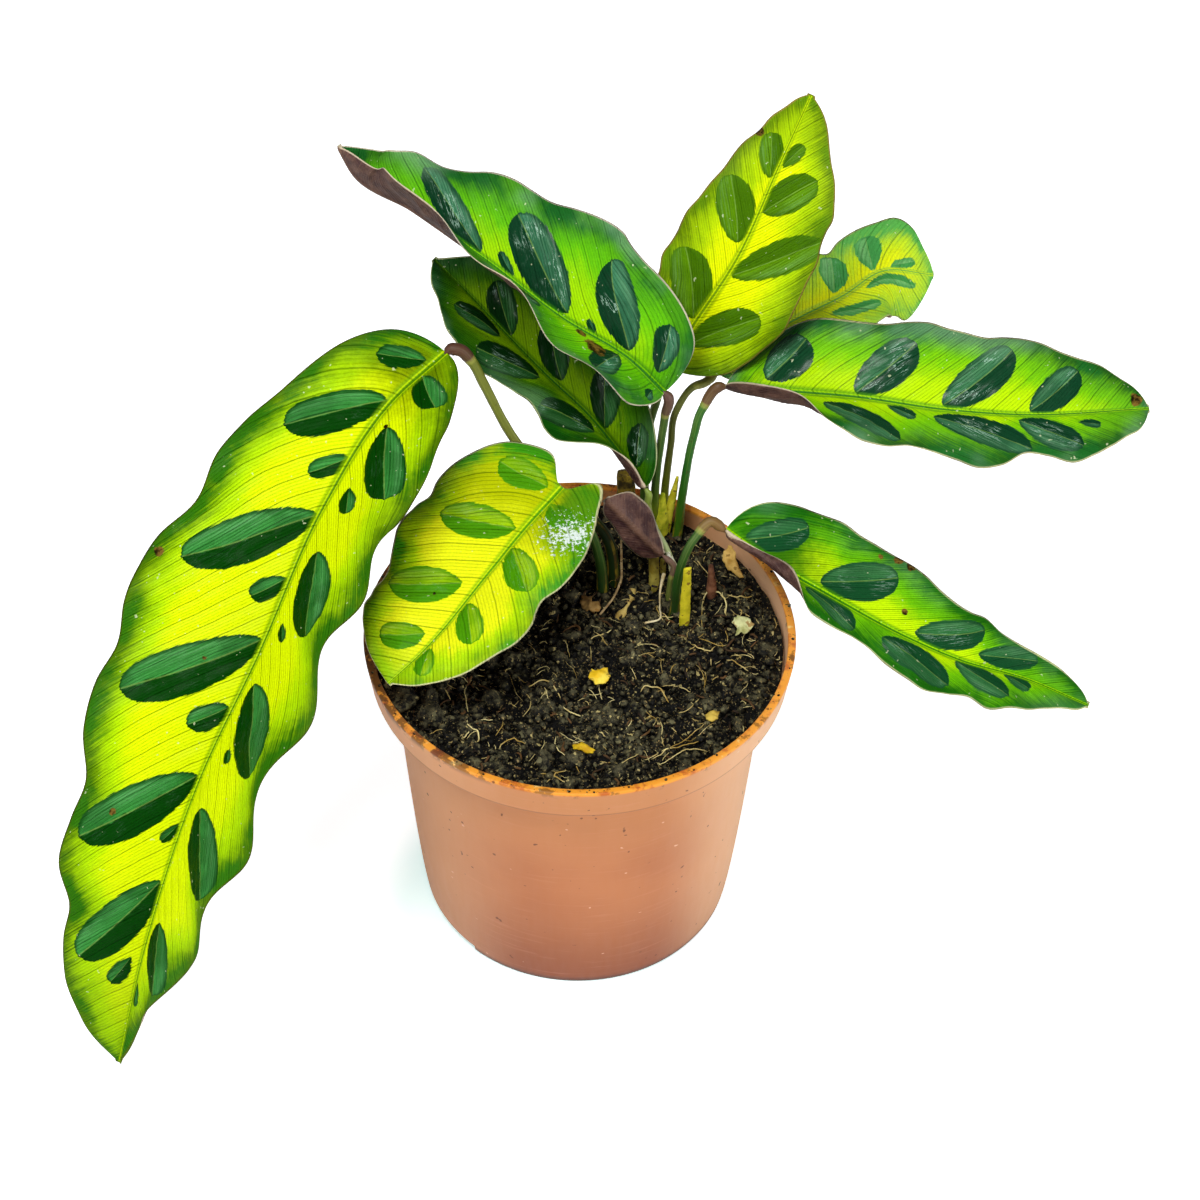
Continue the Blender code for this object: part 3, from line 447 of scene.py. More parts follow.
def peat():
    """Damp peat: black in the hollows, paler on crests and crumb tops, with olive and straw grains."""
    material, w, shader = new_material("peat_soil", Specular_IOR_Level=0.2)
    place = w.place()
    grain = w.node("TexVoronoi", {"Vector": place, "Scale": 800.0}).outputs
    tone = w.noise(place, 400.0, 5.0, 0.8)
    # Tone raised where a point stands high on the bed or on its crumb
    dry = w.plus(tone, w.times(w.read("crest"), 0.16))
    colour = w.paint(
        w.mix(w.step(dry, 0.53, 0.72), (2, 2, 1), (86, 82, 60)),
        (w.step(grain["Color"], 0.72, 0.9), w.step(dry, 0.42, 0.6), (112, 108, 78)),
        (w.step(w.noise(place, 1100.0, 3.0, 0.75), 0.61, 0.65), 1.0, (150, 130, 84)),
        (w.step(w.noise(place, 620.0, 2.0), 0.66, 0.69), 0.7, (214, 196, 130)))
    height = w.plus(w.noise(place, 1400.0, 4.0, 0.7), grain["Distance"])
    link_finish(w, shader, colour, w.ramp(tone, 0.35, 0.95, 0.35, 0.6), height, 0.9, 0.0004)
    return material


def unit(v):
    """Vectors scaled to length one."""
    return v / np.linalg.norm(v, axis=-1, keepdims=True)


def crumb_heap(count, smallest, largest, seed, level=1, lip=False):
    """Crumbs as bent balls, and how high each of their corners stands on its crumb.

    Places are by chance, sizes by a power law, and each corner is pushed in or out. With 'lip' the
    crumbs lie on the pot's lip instead of the soil.
    """
    rng = np.random.default_rng(seed)
    bm = bmesh.new()
    bmesh.ops.create_icosphere(bm, subdivisions=level, radius=1.0)
    ball = np.array([vertex.co[:] for vertex in bm.verts])
    faces = np.array([[vertex.index for vertex in face.verts] for face in bm.faces])
    bm.free()
    if lip:
        radius = RIM_RADIUS - 2.0 + 1.4 * rng.random(count)
    else:
        radius = HEAP_RADIUS * np.sqrt(rng.random(count))
    angle = rng.uniform(-math.pi, math.pi, count)
    x, y = radius * np.cos(angle), radius * np.sin(angle)
    size = smallest * (largest / smallest)**(rng.random(count)**2.2)
    stretch = rng.uniform(0.6, 1.25, (count, 1, 3)) * rng.uniform(0.7, 1.2, (count, len(ball), 1))
    turn = rng.uniform(-math.pi, math.pi, count)
    shaped = ball * stretch * size[:, None, None] / 2
    cos, sin = np.cos(turn)[:, None], np.sin(turn)[:, None]
    shaped = np.stack([shaped[..., 0] * cos - shaped[..., 1] * sin,
                       shaped[..., 0] * sin + shaped[..., 1] * cos, shaped[..., 2]], -1)
    sit = (POT_HEIGHT - 0.1 if lip else soil_top(x, y)) + size * rng.uniform(0.05, 0.3, count)
    places = shaped + np.stack([x, y, sit], -1)[:, None]
    rugged = chance(places[..., 0] + places[..., 2], places[..., 1] + 0.7 * places[..., 2], 0.9, seed)
    places += shaped * (0.25 * rugged * (level > 1))[..., None]
    faces = (faces + (np.arange(count) * len(ball))[:, None, None]).reshape(-1, 3)
    crest = np.tile(ball[:, 2], count) - (size < 1.0).repeat(len(ball)) * 0.3
    return places.reshape(-1, 3), faces.tolist(), {"crest": crest}


def strands(lines, radii, sides=4):
    """Thin threads of many lines at once: a ring of points round each line point, tips drawn in."""
    count, rows = lines.shape[:2]
    way = unit(np.gradient(lines, axis=1))
    across = unit(np.cross(way, (0.13, 0.21, 0.97)))
    normal = np.cross(across, way)
    angle = 2 * math.pi * np.arange(sides) / sides
    slim = np.sqrt(np.clip(1.0 - np.linspace(-1.0, 1.0, rows)**6, 0.02, 1.0)) * radii[:, None]
    rings = lines[:, :, None] + slim[..., None, None] * (np.cos(angle)[:, None] * across[:, :, None]
                                                         - np.sin(angle)[:, None] * normal[:, :, None])
    one = sheet_faces(rows, sides, True)
    start = np.arange(count) * rows * sides
    faces = (one[None] + start[:, None, None]).reshape(-1, 4)
    ring = np.arange(sides)
    ends = np.concatenate([start[:, None] + ring[::-1], start[:, None] + (rows - 1) * sides + ring])
    return rings.reshape(-1, 3), faces.tolist() + ends.tolist()


def soil_threads(count, shortest, longest, thin, thick, seed):
    """Fibres that wander over the crumbs: a start, a heading that drifts, and the ground's height."""
    rng = np.random.default_rng(seed)
    rows = THREAD_POINTS
    radius = THREAD_RADIUS * np.sqrt(rng.random(count))
    angle = rng.uniform(-math.pi, math.pi, count)
    length = shortest * (longest / shortest)**(rng.random(count)**1.6)
    bend = np.cumsum(rng.normal(0.0, 0.16, (count, rows)), axis=1)
    bend += rng.normal(0.0, 0.07, (count, 1)) * np.arange(rows)
    heading = rng.uniform(-math.pi, math.pi, (count, 1)) + bend
    x = (radius * np.cos(angle))[:, None] + np.cumsum(np.cos(heading), 1) * (length / rows)[:, None]
    y = (radius * np.sin(angle))[:, None] + np.cumsum(np.sin(heading), 1) * (length / rows)[:, None]
    reach = np.minimum(1.0, THREAD_LIMIT / np.hypot(x, y))
    x, y = x * reach, y * reach
    arch = np.sin(np.linspace(0, math.pi, rows))
    lift = rng.uniform(0.0, 1.0, (count, 1)) * arch * length[:, None] * 0.06
    z = soil_bed(x, y) + 0.35 * (soil_top(x, y) - soil_bed(x, y)) + 0.7 + lift
    return np.stack([x, y, z], -1), rng.uniform(thin, thick, count)


# Courses of the longer roots over the soil
ROOTS = [
    [(-30, -30), (-29, -33), (-27, -35), (-27, -38)], [(-29, -33), (-30, -35), (-31, -36)],
    [(-6, -35), (-5, -40), (-2, -43), (1, -47)], [(18, -43), (25, -38), (31, -33), (35, -29)],
    [(20, -42), (28, -37), (33, -35)], [(22, -44), (29, -40), (35, -39)],
    [(-10, -49), (-7, -50), (-1, -52)], [(-8, -52), (-5, -49), (-3, -47)], [(3, 1), (6, 3), (9, 5)],
    [(4, 5), (6, 2), (8, -1)], [(-31, -15), (-31, -21), (-30, -27)], [(41, 20), (45, 19), (50, 21)],
    [(34, 16), (37, 21), (40, 18), (41, 13)], [(-16, -19), (-9, -16), (-5, -20)],
    [(-41, -23), (-38, -19), (-35, -21)], [(17, -18), (20, -16), (23, -18), (25, -21)],
    [(31, 1), (34, -2), (38, 0)], [(-5, -22), (-2, -27), (2, -28)], [(-21, -39), (-18, -36), (-14, -38)],
    [(41, -4), (44, -7), (47, -9)],
]


def laid_roots(courses, seed):
    """Roots along the given courses: a cubic line near each course, with a little chance wander, on the
    crumbs.
    """
    rng = np.random.default_rng(seed)
    share = np.linspace(0.0, 1.0, ROOT_POINTS)
    lines = []
    for course in courses:
        course = np.asarray(course, float)
        knots = np.linspace(0.0, 1.0, len(course))
        weights = np.polyfit(knots, course, min(len(course) - 1, 3))
        x, y = (np.polyval(weights[:, axis], share) for axis in (0, 1))
        x = x + 0.35 * chance(share * 12, share * 0 + rng.uniform(0, 90), 2.0, seed)
        y = y + 0.35 * chance(share * 12, share * 0 + rng.uniform(0, 90), 2.0, seed + 1)
        z = soil_bed(x, y) + 0.5 * (soil_top(x, y) - soil_bed(x, y)) + 0.9 + 0.5 * np.sin(math.pi * share)
        lines.append(np.stack([x, y, z], -1))
    return np.array(lines), rng.uniform(0.12, 0.24, len(courses))


def fibre(name, dark, pale):
    """Dry plant fibre: tone that changes along and between the threads."""
    material, w, shader = new_material(name, Specular_IOR_Level=0.3)
    place = w.place()
    colour = w.mix(w.step(w.noise(place, 120.0, 3.0), 0.35, 0.65), dark, pale)
    rough = w.ramp(w.noise(place, 800.0), 0.55, 0.9)
    link_finish(w, shader, colour, rough, w.noise(place, 2500.0, 2.0), 0.5, 0.0001)
    return material


def bed_surface():
    """The soil's whole skin, and how high its points stand over the smooth bed.

    Rings run from the foot on the pot's floor up inside the wall, then inward over the rough top.
    """
    angles = np.linspace(-math.pi, math.pi, SOIL_SIDES, endpoint=False)
    ledge = COLLAR_FOOT + 1.9
    low = turned_rings([
        (20.0, SOIL_FOOT), (PAD_RADIUS - 0.8, SOIL_FOOT), (PAD_RADIUS + 1.2, SOIL_SHELF),
        (body_radius(SOIL_SHELF) - 2.2, SOIL_SHELF), (body_radius(45.0) - 2.0, 45.0),
        (BODY_TOP_RADIUS - 2.0, ledge), (COLLAR_FOOT_RADIUS - 2.1, ledge),
        (COLLAR_FOOT_RADIUS - 2.0, COLLAR_FOOT + 3.2)], angles)
    radii = np.arange(SOIL_EDGE, 0.6, -SOIL_STEP)
    top = turned_rings(np.stack([radii, radii], 1), angles)
    top[..., 2] = soil_top(top[..., 0], top[..., 1])
    crest = (top[..., 2] - soil_bed(top[..., 0], top[..., 1])).ravel()
    crest = np.concatenate([np.zeros(low[..., 2].size), crest, [0.0, 0.0]])
    middle = (0.0, 0.0, float(soil_top(0.0, 0.0)))
    return *closed_rings(np.concatenate([low, top]), (0.0, 0.0, SOIL_FOOT), middle), {"crest": crest}


peat_material = peat()


def heap_piece(name, places, faces, numbers):
    """One mesh in the peat's material."""
    return new_piece(name, places, faces, [peat_material], numbers)


soil = heap_piece("peat_bed", *bed_surface())
crumbs = heap_piece("peat_crumbs", *crumb_heap(6500, 0.4, 3.0, SOIL_SEED))
clods = heap_piece("peat_clods", *crumb_heap(90, 3.0, 8.0, SOIL_SEED + 5, 3))
spilt = heap_piece("spilt_crumbs", *crumb_heap(120, 0.25, 1.3, SOIL_SEED + 6, lip=True))
pale_fibre = fibre("root_fibre", (180, 148, 70), (242, 228, 160))
fine_roots = new_piece("fine_roots", *strands(*soil_threads(260, 2.0, 13.0, 0.06, 0.14, SOIL_SEED + 1)),
                       [pale_fibre])
long_roots = new_piece("long_roots", *strands(*laid_roots(ROOTS, SOIL_SEED + 3)), [pale_fibre])
splinters = new_piece("bark_splinters", *strands(*soil_threads(190, 2.0, 9.0, 0.18, 0.42, SOIL_SEED + 2)),
                      [fibre("bark_fibre", (24, 17, 10), (104, 74, 40))])
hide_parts("soil")
for piece in (soil, crumbs, clods, spilt, fine_roots, long_roots, splinters):
    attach(piece, "root")


# Leaf blades
# Nine thin leaves, folded a little along the rib, with waved margins. The blade is one living
# sheet: quilted between side veins, green with dark ovals above and wine-brown below.
NECK = 1.1
KEEL = 1.0
LOBE_REACH = 0.16
LOBE_SPREAD = 5.0
BLADE_STEP = 0.8
BLADE_THICKNESS = 0.45
SMALL_MARK = 11.0
VEIN_GAP = 6.2
FINE_VEIN_GAP = 1.24
PUCKER_GAP = 1.9
VEIN_BEND = 0.006
LEFT_VEINS_AHEAD = 1.5
OVAL_BOW = 0.08
OVAL_FULLNESS = 1.96

# 'rib' lists places of the midrib from stalk to tip, 'face' the way the upper face looks along it.
# Pairs are the left and right halves, seen from above with the tip ahead: 'width' at even steps,
# 'rise' and 'curl' in degrees, 'wave' with its count, phase and height. 'round' is the share of
# the length that the rounded base takes up, 'taper' where the tip begins, 'point' its bluntness.
# 'sweep' is how far the wave's crests run forward, as a share of the length, and 'lobe' how far the
# base reaches back beside the rib. 'slope' is how far a side vein runs forward for each millimetre out.
# 'ovals' are the dark marks: forward and outward places of the inner and outer end, and half the
# width. 'scars' are brown spots, 'glints' patches of painted glare, white flecks over painted shade,
# and 'shades' patches of painted shade, each by its forward and outward place (left of the rib below
# zero) and its radius.
# 'tones' are the colours beside the rib, towards the margin, of the margin band and of the base,
# then the painted lit half and painted shaded half of an oval and the margin's line; 'band' is the
# margin band's width, 'base' the reach of the base's tone and 'wet' how strong the coat's gloss, the
# painted sheen near the margin and the thin painted highlight lines in the ovals are.
LEAVES = {
    "leaf_1": dict(
        rib=[(-38, 44, 163.5), (-52.5, 28, 159), (-69.5, 2, 144.5), (-85.5, -32, 122), (-99.5, -58, 103),
             (-115, -83, 62), (-124, -94, 24)],
        face=[(-0.15, -0.5, 0.8), (-0.4, -0.65, 0.63), (-0.45, -0.65, 0.6), (-0.45, -0.65, 0.6)],
        width=([21.5, 22, 25, 26.5, 25.5, 28.5, 28, 28, 26.5, 29, 29.5, 29, 29, 29, 25, 26, 20, 15.5,
                10.5, 6.5, 10],
               [32, 27, 25.5, 26.5, 30, 32, 31.5, 37.5, 39, 38.5, 35.5, 36, 33.5, 28.5, 29, 28.5, 23,
                23.5, 23.5, 24.5, 36]),
        round=0.2, taper=0.75, point=3.5,
        rise=[(15, 22, 25, 25), (15, 22, 25, 20)], curl=[(0, 0, 0, 0), (-10, 0, 0, 0)],
        wave=[(6.6, 0.24, 3.0), (6.0, 0.38, 2.0)], sweep=0.12, slope=(1.5, 1.0),
        ovals=([(10, 1, 17, 13, 4.7), (29, 5, 49, 19, 6.3), (49, 5, 56, 9, 2.8), (69, 6, 92, 17, 6.8),
                (90, 4, 95, 7, 1.4), (108, 4, 130, 21, 7), (126, 6, 130, 8, 1.4), (143, 6, 161, 22, 6.8),
                (177, 4, 194, 12, 6), (198, 1, 205, 2, 1.5)],
               [(6, 2, 15, 12, 3.3), (22, 1, 42, 20, 5.6), (41, 0.5, 50, 8, 3), (59, 0.5, 83, 29, 6.6),
                (78, 1, 86, 8, 3.1), (96, 1, 124, 29, 7), (116, 1, 125, 9, 3.6), (136, 1, 162, 25, 6.4),
                (150, 1, 156, 4, 1.6), (167, 1, 196, 17, 6.1), (191, 3, 201, 7, 2.5)]),
        tones=((226, 248, 2), (178, 226, 4), (34, 106, 8), (98, 126, 0), (60, 146, 62), (5, 64, 4),
               (84, 100, 10)),
        band=7.5, base=24, wet=0.04,
        scars=[(84, 35.5, 1.3), (29, -4.4, 0.8), (153, 18.7, 0.9), (107, 12.8, 0.6)]),
    "leaf_2": dict(
        rib=[(-5.5, 24, 132.5), (-15, 11, 130), (-24.5, -4, 127.5), (-42.5, -27, 118.5), (-51, -34, 114)],
        face=[(-0.1, -0.3, 1.0), (-0.15, -0.3, 1.0)],
        width=([9.5, 10.5, 13, 16.5, 19, 20.5, 21, 21, 20, 18, 18.5, 20, 20.5, 20, 18, 16, 14, 11.5, 9.5,
                8.5, 6.5],
               [12, 18, 23, 26, 28, 28.5, 27.5, 28.5, 28.5, 28.5, 28, 26.5, 25, 23.5, 23, 23, 22, 22, 22,
                24, 34]),
        round=0.08, taper=0.75, point=4, lobe=(11, 9),
        rise=[(12, 10), (12, 10)], curl=[(-10, -15), (-10, -10)],
        wave=[(2.6, 0.0, 1.2), (2.6, 0.5, 1.2)], sweep=0.2, slope=(0.8, 0.6),
        ovals=([(7, 1, 11, 10, 3.7), (25, 1, 35, 13, 4.7), (46, 1, 55, 10, 4), (62, 1, 69, 5, 2.8)],
               [(3, 3, 5, 18, 4.7), (19, 2, 27, 21, 5.9), (42, 4, 54, 20, 5.9), (60, 3, 69, 12, 4.2)]),
        tones=((244, 252, 24), (180, 228, 8), (54, 150, 20), (186, 200, 2), (164, 208, 8), (78, 154, 8),
               (232, 226, 176)),
        band=5.0, base=22, wet=0.1, scars=[(49, 8, 0.6)], glints=[(13.5, -12.5, 7)],
        shades=[(2, -9, 5), (7, -8, 4), (1, -14, 4)]),
    "leaf_3": dict(
        rib=[(22, 42, 152), (12.5, 44, 162), (-6, 48, 173), (-28.5, 54, 189.5), (-47, 61, 199.5),
             (-62, 65, 207), (-67, 66, 217)],
        face=[(-0.1, -0.65, 0.75), (-0.1, -0.65, 0.75)],
        width=([15.5, 17, 18.5, 19.5, 20, 20, 19, 17, 14, 11.5, 9.5, 9, 9, 9, 9, 10, 12, 14, 15, 15.5,
                16],
               [23, 23.5, 23, 23.5, 24.5, 26.5, 28.5, 29, 28, 26, 23.5, 22.5, 22, 20.5, 17, 14.5, 14.5,
                13.5, 14.5, 17, 16.5]),
        round=0.2, taper=0.75, point=2.5,
        rise=[(45, 60, 85, 125), (24, 16, 0, 0)], curl=[(10, 15, 20, 30), (0, -10, -10, 0)],
        wave=[(4.0, 0.0, 1.5), (4.0, 0.5, 2.0)], sweep=0.15, slope=(1.0, 1.2),
        ovals=([(18, 2, 24, 16, 4.2), (4, 3, 5, 7, 1.8), (44, 2, 56, 11, 4), (70, 2, 82, 8, 3)],
               [(65, 1, 89, 11, 3.8), (36, 2, 63, 15, 6.3), (16, 2, 34, 21, 5.5), (6, 3, 13, 15, 3.4),
                (54, 1, 61, 4, 1.3), (26, 1, 30, 3.5, 1)]),
        tones=((170, 228, 8), (100, 192, 14), (20, 92, 34), (90, 170, 4), (64, 128, 92), (12, 60, 34),
               (222, 208, 188)),
        band=10.0, base=12, wet=0.9, scars=[(25, -6, 3.0), (30, -2, 1.6)]),
    # Leaf 4's tones are darker than the other leaves' as painted shade, for the shadow of leaf 3 above it
    "leaf_4": dict(
        rib=[(17.5, 34, 123), (1.5, 48, 137), (-11.5, 58, 144), (-23, 66, 152), (-33, 73, 159.5),
             (-43, 80, 166)],
        face=[(0.2, -0.5, 0.83), (0.3, -0.44, 0.83)],
        width=([2, 5.5, 6.5, 6.5, 8.5, 12, 15, 14.5, 12, 12, 15, 16.5, 16.5, 17, 17, 18, 18.5, 15.5, 12.5,
                14, 16],
               [10.5, 12, 13, 14, 15, 16.5, 17.5, 18.5, 18.5, 18.5, 19, 20, 20, 19, 17.5, 16, 15, 14,
                12.5, 10.5, 9]),
        round=0.2, taper=0.75, point=3,
        rise=[(20, 25), (42, 30, 20)], curl=[(150, 120, 0, 0, 0, 0, 0, 0, 0), (0, 0)],
        wave=[(3.6, 0.0, 1.8), (3.6, 0.5, 1.8)], sweep=0.18, slope=(1.8, 1.3),
        ovals=([(59, 3, 74, 7, 3.5), (43, 3, 61, 13, 4.6), (21, 3, 37, 10, 4.1)],
               [(57, 1, 71, 8, 4.2), (38, 2, 52, 11, 4.5), (20, 1, 31, 13, 4.2), (6, 2, 15, 10, 3.3)]),
        tones=((116, 160, 2), (58, 112, 4), (14, 76, 10), (58, 108, 2), (40, 100, 42), (6, 46, 10),
               (196, 204, 150)),
        band=6.0, base=16, wet=0.5),
    "leaf_5": dict(
        rib=[(23, 55, 150), (29.5, 56, 164), (41, 58, 187.5), (51.5, 65, 215), (59, 72, 232.5)],
        face=[(-0.1, -0.9, 0.3), (-0.2, -0.9, 0.3)],
        width=([11.5, 12.5, 14, 15, 16, 16.5, 17, 18.5, 18, 18, 18.5, 18.5, 17, 15.5, 13.5, 12.5, 11.5,
                10, 10.5, 10.5, 15.5],
               [15.5, 16.5, 17.5, 18, 19, 20, 21, 21.5, 21, 20.5, 20, 20, 19, 19, 19.5, 18, 16, 13.5, 13,
                15, 19.5]),
        round=0.2, taper=0.75, point=2.5,
        rise=[(10, 10), (10, 10)], curl=[(0, 0), (0, 0)],
        wave=[(3.2, 0.0, 1.5), (3.2, 0.5, 1.5)], sweep=0.18, slope=(1.6, 1.4),
        ovals=([(67, 1, 79, 6, 3.5), (46, 2, 64, 11, 5.4), (18, 1, 38, 14, 6)],
               [(71, 1, 79, 4, 2.1), (57, 1, 72, 11, 4.8), (36, 1, 57, 19, 4.9), (10, 2, 31, 14, 5.1)]),
        tones=((238, 252, 4), (178, 216, 8), (92, 136, 10), (112, 134, 4), (98, 150, 4), (70, 116, 3),
               (150, 130, 60)),
        band=6.5, base=10, wet=0.05, scars=[(78, -8.9, 1.2)]),
    "leaf_6": dict(
        rib=[(37, 60, 143.5), (48, 70, 146.5), (60.5, 80, 147), (73.5, 90, 147), (84, 98, 149),
             (100, 104, 143)],
        face=[(-0.2, -0.5, 0.85), (-0.2, -0.5, 0.85)],
        width=([5.5, 6.5, 7, 7.5, 8.5, 9, 10, 11, 11.5, 12.5, 13.5, 14.5, 14.5, 12.5, 13.5, 14, 14.5,
                15.5, 13, 9, 9],
               [9.5, 10, 9.5, 9.5, 9.5, 10, 10.5, 10.5, 10, 10, 10.5, 11.5, 12.5, 11.5, 12, 14, 14.5,
                14.5, 14, 16.5, 16]),
        round=0.2, taper=0.86, point=4,
        rise=[(10, 10), (0, -20)], curl=[(0, 0), (-20, -40)],
        wave=[(2.6, 0.0, 1.2), (3.6, 0.5, 2.0)], sweep=0.18, slope=(0.6, 1.0),
        ovals=([(45, 2, 51, 11, 4.8), (59, 1, 61, 11, 2.8), (64, 1, 72, 3, 1.5)],
               [(54, 2, 74, 4, 1.7), (40, 3, 56, 8, 1.6)]),
        tones=((240, 252, 20), (204, 240, 40), (86, 180, 80), (200, 240, 30), (136, 206, 126),
               (72, 160, 78), (196, 206, 130)),
        band=5.5, base=5, wet=0.2),
    "leaf_7": dict(
        rib=[(39, 45, 152), (59.5, 41, 154), (73.5, 38, 155.5), (98.5, 34, 155), (119.5, 33, 154.5),
             (155, 38, 153)],
        face=[(0.0, -0.4, 0.9), (0.0, -0.35, 0.95)],
        width=([13.5, 15.5, 18, 20, 21, 21, 21, 21.5, 23, 23.5, 22.5, 22, 21.5, 22, 21.5, 20, 17.5, 16,
                15.5, 14.5, 19.5],
               [12.5, 13.5, 15.5, 17.5, 16, 16.5, 15, 17, 17.5, 14.5, 13.5, 15, 17.5, 16, 11.5, 12, 14.5,
                13, 11.5, 12, 21]),
        round=0.12, taper=0.75, point=4,
        rise=[(-25, 8, 15, 12, 12, 11, 10), (10, 10, 5, 0)],
        curl=[(0, 0, 0, 0), (140, 110, 30, 0, -10, -15, -20)],
        wave=[(3.6, 0.0, 1.5), (4.6, 0.03, 1.5)], sweep=0.15, slope=(1.0, 2.0),
        ovals=([(11, 3, 21, 15, 6.3), (36, 1, 50, 17, 5.8), (60, 1, 79, 18, 5.7), (84, 1, 99, 12, 4.7)],
               [(28, 4, 50, 13, 4.0), (45, 1.5, 53, 4, 1.6), (58, 3, 84, 10, 4.2), (81, 2, 97, 10, 3.9),
                (97, 3, 103, 4, 1.3)]),
        tones=((190, 236, 4), (120, 202, 10), (22, 100, 38), (44, 84, 10), (66, 128, 84), (16, 66, 38),
               (226, 222, 170)),
        band=8.0, base=9, wet=0.8, scars=[(114, -2.7, 1.6)]),
    "leaf_8": dict(
        rib=[(39.5, 14, 127), (50, 10, 121), (69, 3, 113), (91, -4, 104), (105, -8, 100),
             (123.5, -11, 96), (141, -15, 90)],
        face=[(0.2, -0.3, 0.95), (0.2, -0.4, 0.9)],
        width=([18.5, 18.5, 18.5, 19, 19.5, 20, 19.5, 20, 20, 19.5, 18, 16, 15, 14.5, 14, 10.5, 8.5, 8,
                8.5, 9.5, 12.5],
               [1.5, 2, 4.5, 8, 11.5, 13, 11.5, 10.5, 9, 8.5, 10.5, 13, 15, 12.5, 10, 12.5, 11.5, 11, 8.5,
                7.5, 13.5]),
        round=0.15, taper=0.75, point=3,
        rise=[(10, 10), (5, 10)], curl=[(0, 0), (150, 140, 10, 0, 0, 0, 0)],
        wave=[(3.6, 0.0, 1.8), (4.2, 0.5, 1.8)], sweep=0.18, slope=(1.8, 2.6),
        ovals=([(6, 1, 20, 14, 4.8), (30, 2, 49, 14, 5.8), (60, 2, 79, 10, 4.6), (79, 3, 95, 6, 3.4)],
               [(27, 2, 44, 6, 4.2), (52, 4, 73, 9, 4.8), (73, 1, 89, 8, 3.5), (87, 1, 95, 3, 2.1)]),
        tones=((200, 244, 5), (112, 198, 8), (24, 104, 14), (34, 110, 8), (60, 128, 70), (20, 78, 40),
               (214, 216, 160)),
        band=6.5, base=30, wet=0.4,
        scars=[(42, -17.6, 0.7), (55, -6, 0.9), (47, -19, 1.2), (51, -18.8, 1.4), (56, -19, 1.2)]),
    "leaf_9": dict(
        rib=[(22.8, 21.5, 109.2), (18.5, 21.8, 114.3), (14.5, 22.5, 119), (6.3, 24.5, 127.7)],
        face=[(0.1, 0.8, -0.5), (0.1, 0.8, -0.5)],
        width=([1.5, 4, 6.8, 6.9, 6], [6, 5.8, 5.6, 4.4, 4]),
        round=0.2, taper=0.8, point=2,
        rise=[(5, 5), (5, 5)], curl=[(20, 20), (20, 20)],
        wave=[(1.5, 0.0, 0.4), (1.5, 0.5, 0.4)], sweep=0.2, slope=(1.0, 1.0),
        ovals=([(8, 1, 12, 3, 1)], [(14, 1, 19, 4, 1.2)]),
        tones=((120, 170, 10), (80, 140, 10), (30, 90, 10), (80, 120, 10), (50, 90, 40), (20, 60, 20),
               (226, 214, 180)),
        band=2.0, base=5, wet=0.1),
}


def smooth(values, x, knots=None):
    """Smooth curve through rows of values at the knots: cubic pieces with central slopes."""
    values = np.asarray(values, float)
    if knots is None:
        knots = np.linspace(0.0, 1.0, len(values))
    slopes = np.gradient(values, knots, axis=0)
    piece = np.clip(np.searchsorted(knots, x, side="right") - 1, 0, len(knots) - 2)
    span = knots[piece + 1] - knots[piece]
    f = (x - knots[piece]) / span
    if values.ndim > 1:
        f = f[..., None]
        span = span[..., None]
    return ((2 * f**3 - 3 * f**2 + 1) * values[piece] + (f**3 - 2 * f**2 + f) * span * slopes[piece]
            + (3 * f**2 - 2 * f**3) * values[piece + 1] + (f**3 - f**2) * span * slopes[piece + 1])


def along(points, t):
    """Place and direction at the share t of the length of a smooth curve through the points."""
    points = np.asarray(points, float)
    t = np.asarray(t, float)
    knots = np.concatenate([[0.0], np.cumsum(np.linalg.norm(np.diff(points, axis=0), axis=1))])
    fine = np.linspace(0.0, knots[-1], 401)
    steps = np.linalg.norm(np.diff(smooth(points, fine, knots), axis=0), axis=1)
    length = np.concatenate([[0.0], np.cumsum(steps)])
    x = np.interp(t * length[-1], length, fine)
    nudge = knots[-1] * 0.002
    ahead = smooth(points, np.clip(x + nudge, 0, knots[-1]), knots)
    behind = smooth(points, np.clip(x - nudge, 0, knots[-1]), knots)
    return smooth(points, x, knots), unit(ahead - behind)


def path_length(points):
    """Length of the smooth curve through the points."""
    return float(np.linalg.norm(np.diff(along(points, np.linspace(0, 1, 200))[0], axis=0), axis=1).sum())


def half_width(leaf, t, side):
    """Width of one half: given widths at even steps, closed by a round base and a tip."""
    base = np.sqrt(1.0 - (1.0 - np.clip(t / leaf["round"], 0.0, 1.0))**2)
    tip = 1.0 - np.clip((t - leaf["taper"]) / (1.0 - leaf["taper"]), 0.0, 1.0)**leaf["point"]
    return np.maximum(smooth(leaf["width"][side], t) * base * tip, NECK)


def drawn_back(leaf, side, t, out, width):
    """How far a heart-shaped base draws a point back along the rib.

    It grows with the square of the share out from the rib, fades along the blade as a bell curve,
    and is nothing where the blade is still as narrow as its foot.
    """
    lobe = leaf.get("lobe", (0, 0))[side] * (1.0 - np.exp(-((width - NECK) / LOBE_SPREAD)**2))
    return lobe * out**2 * np.exp(-(t / LOBE_REACH)**2)


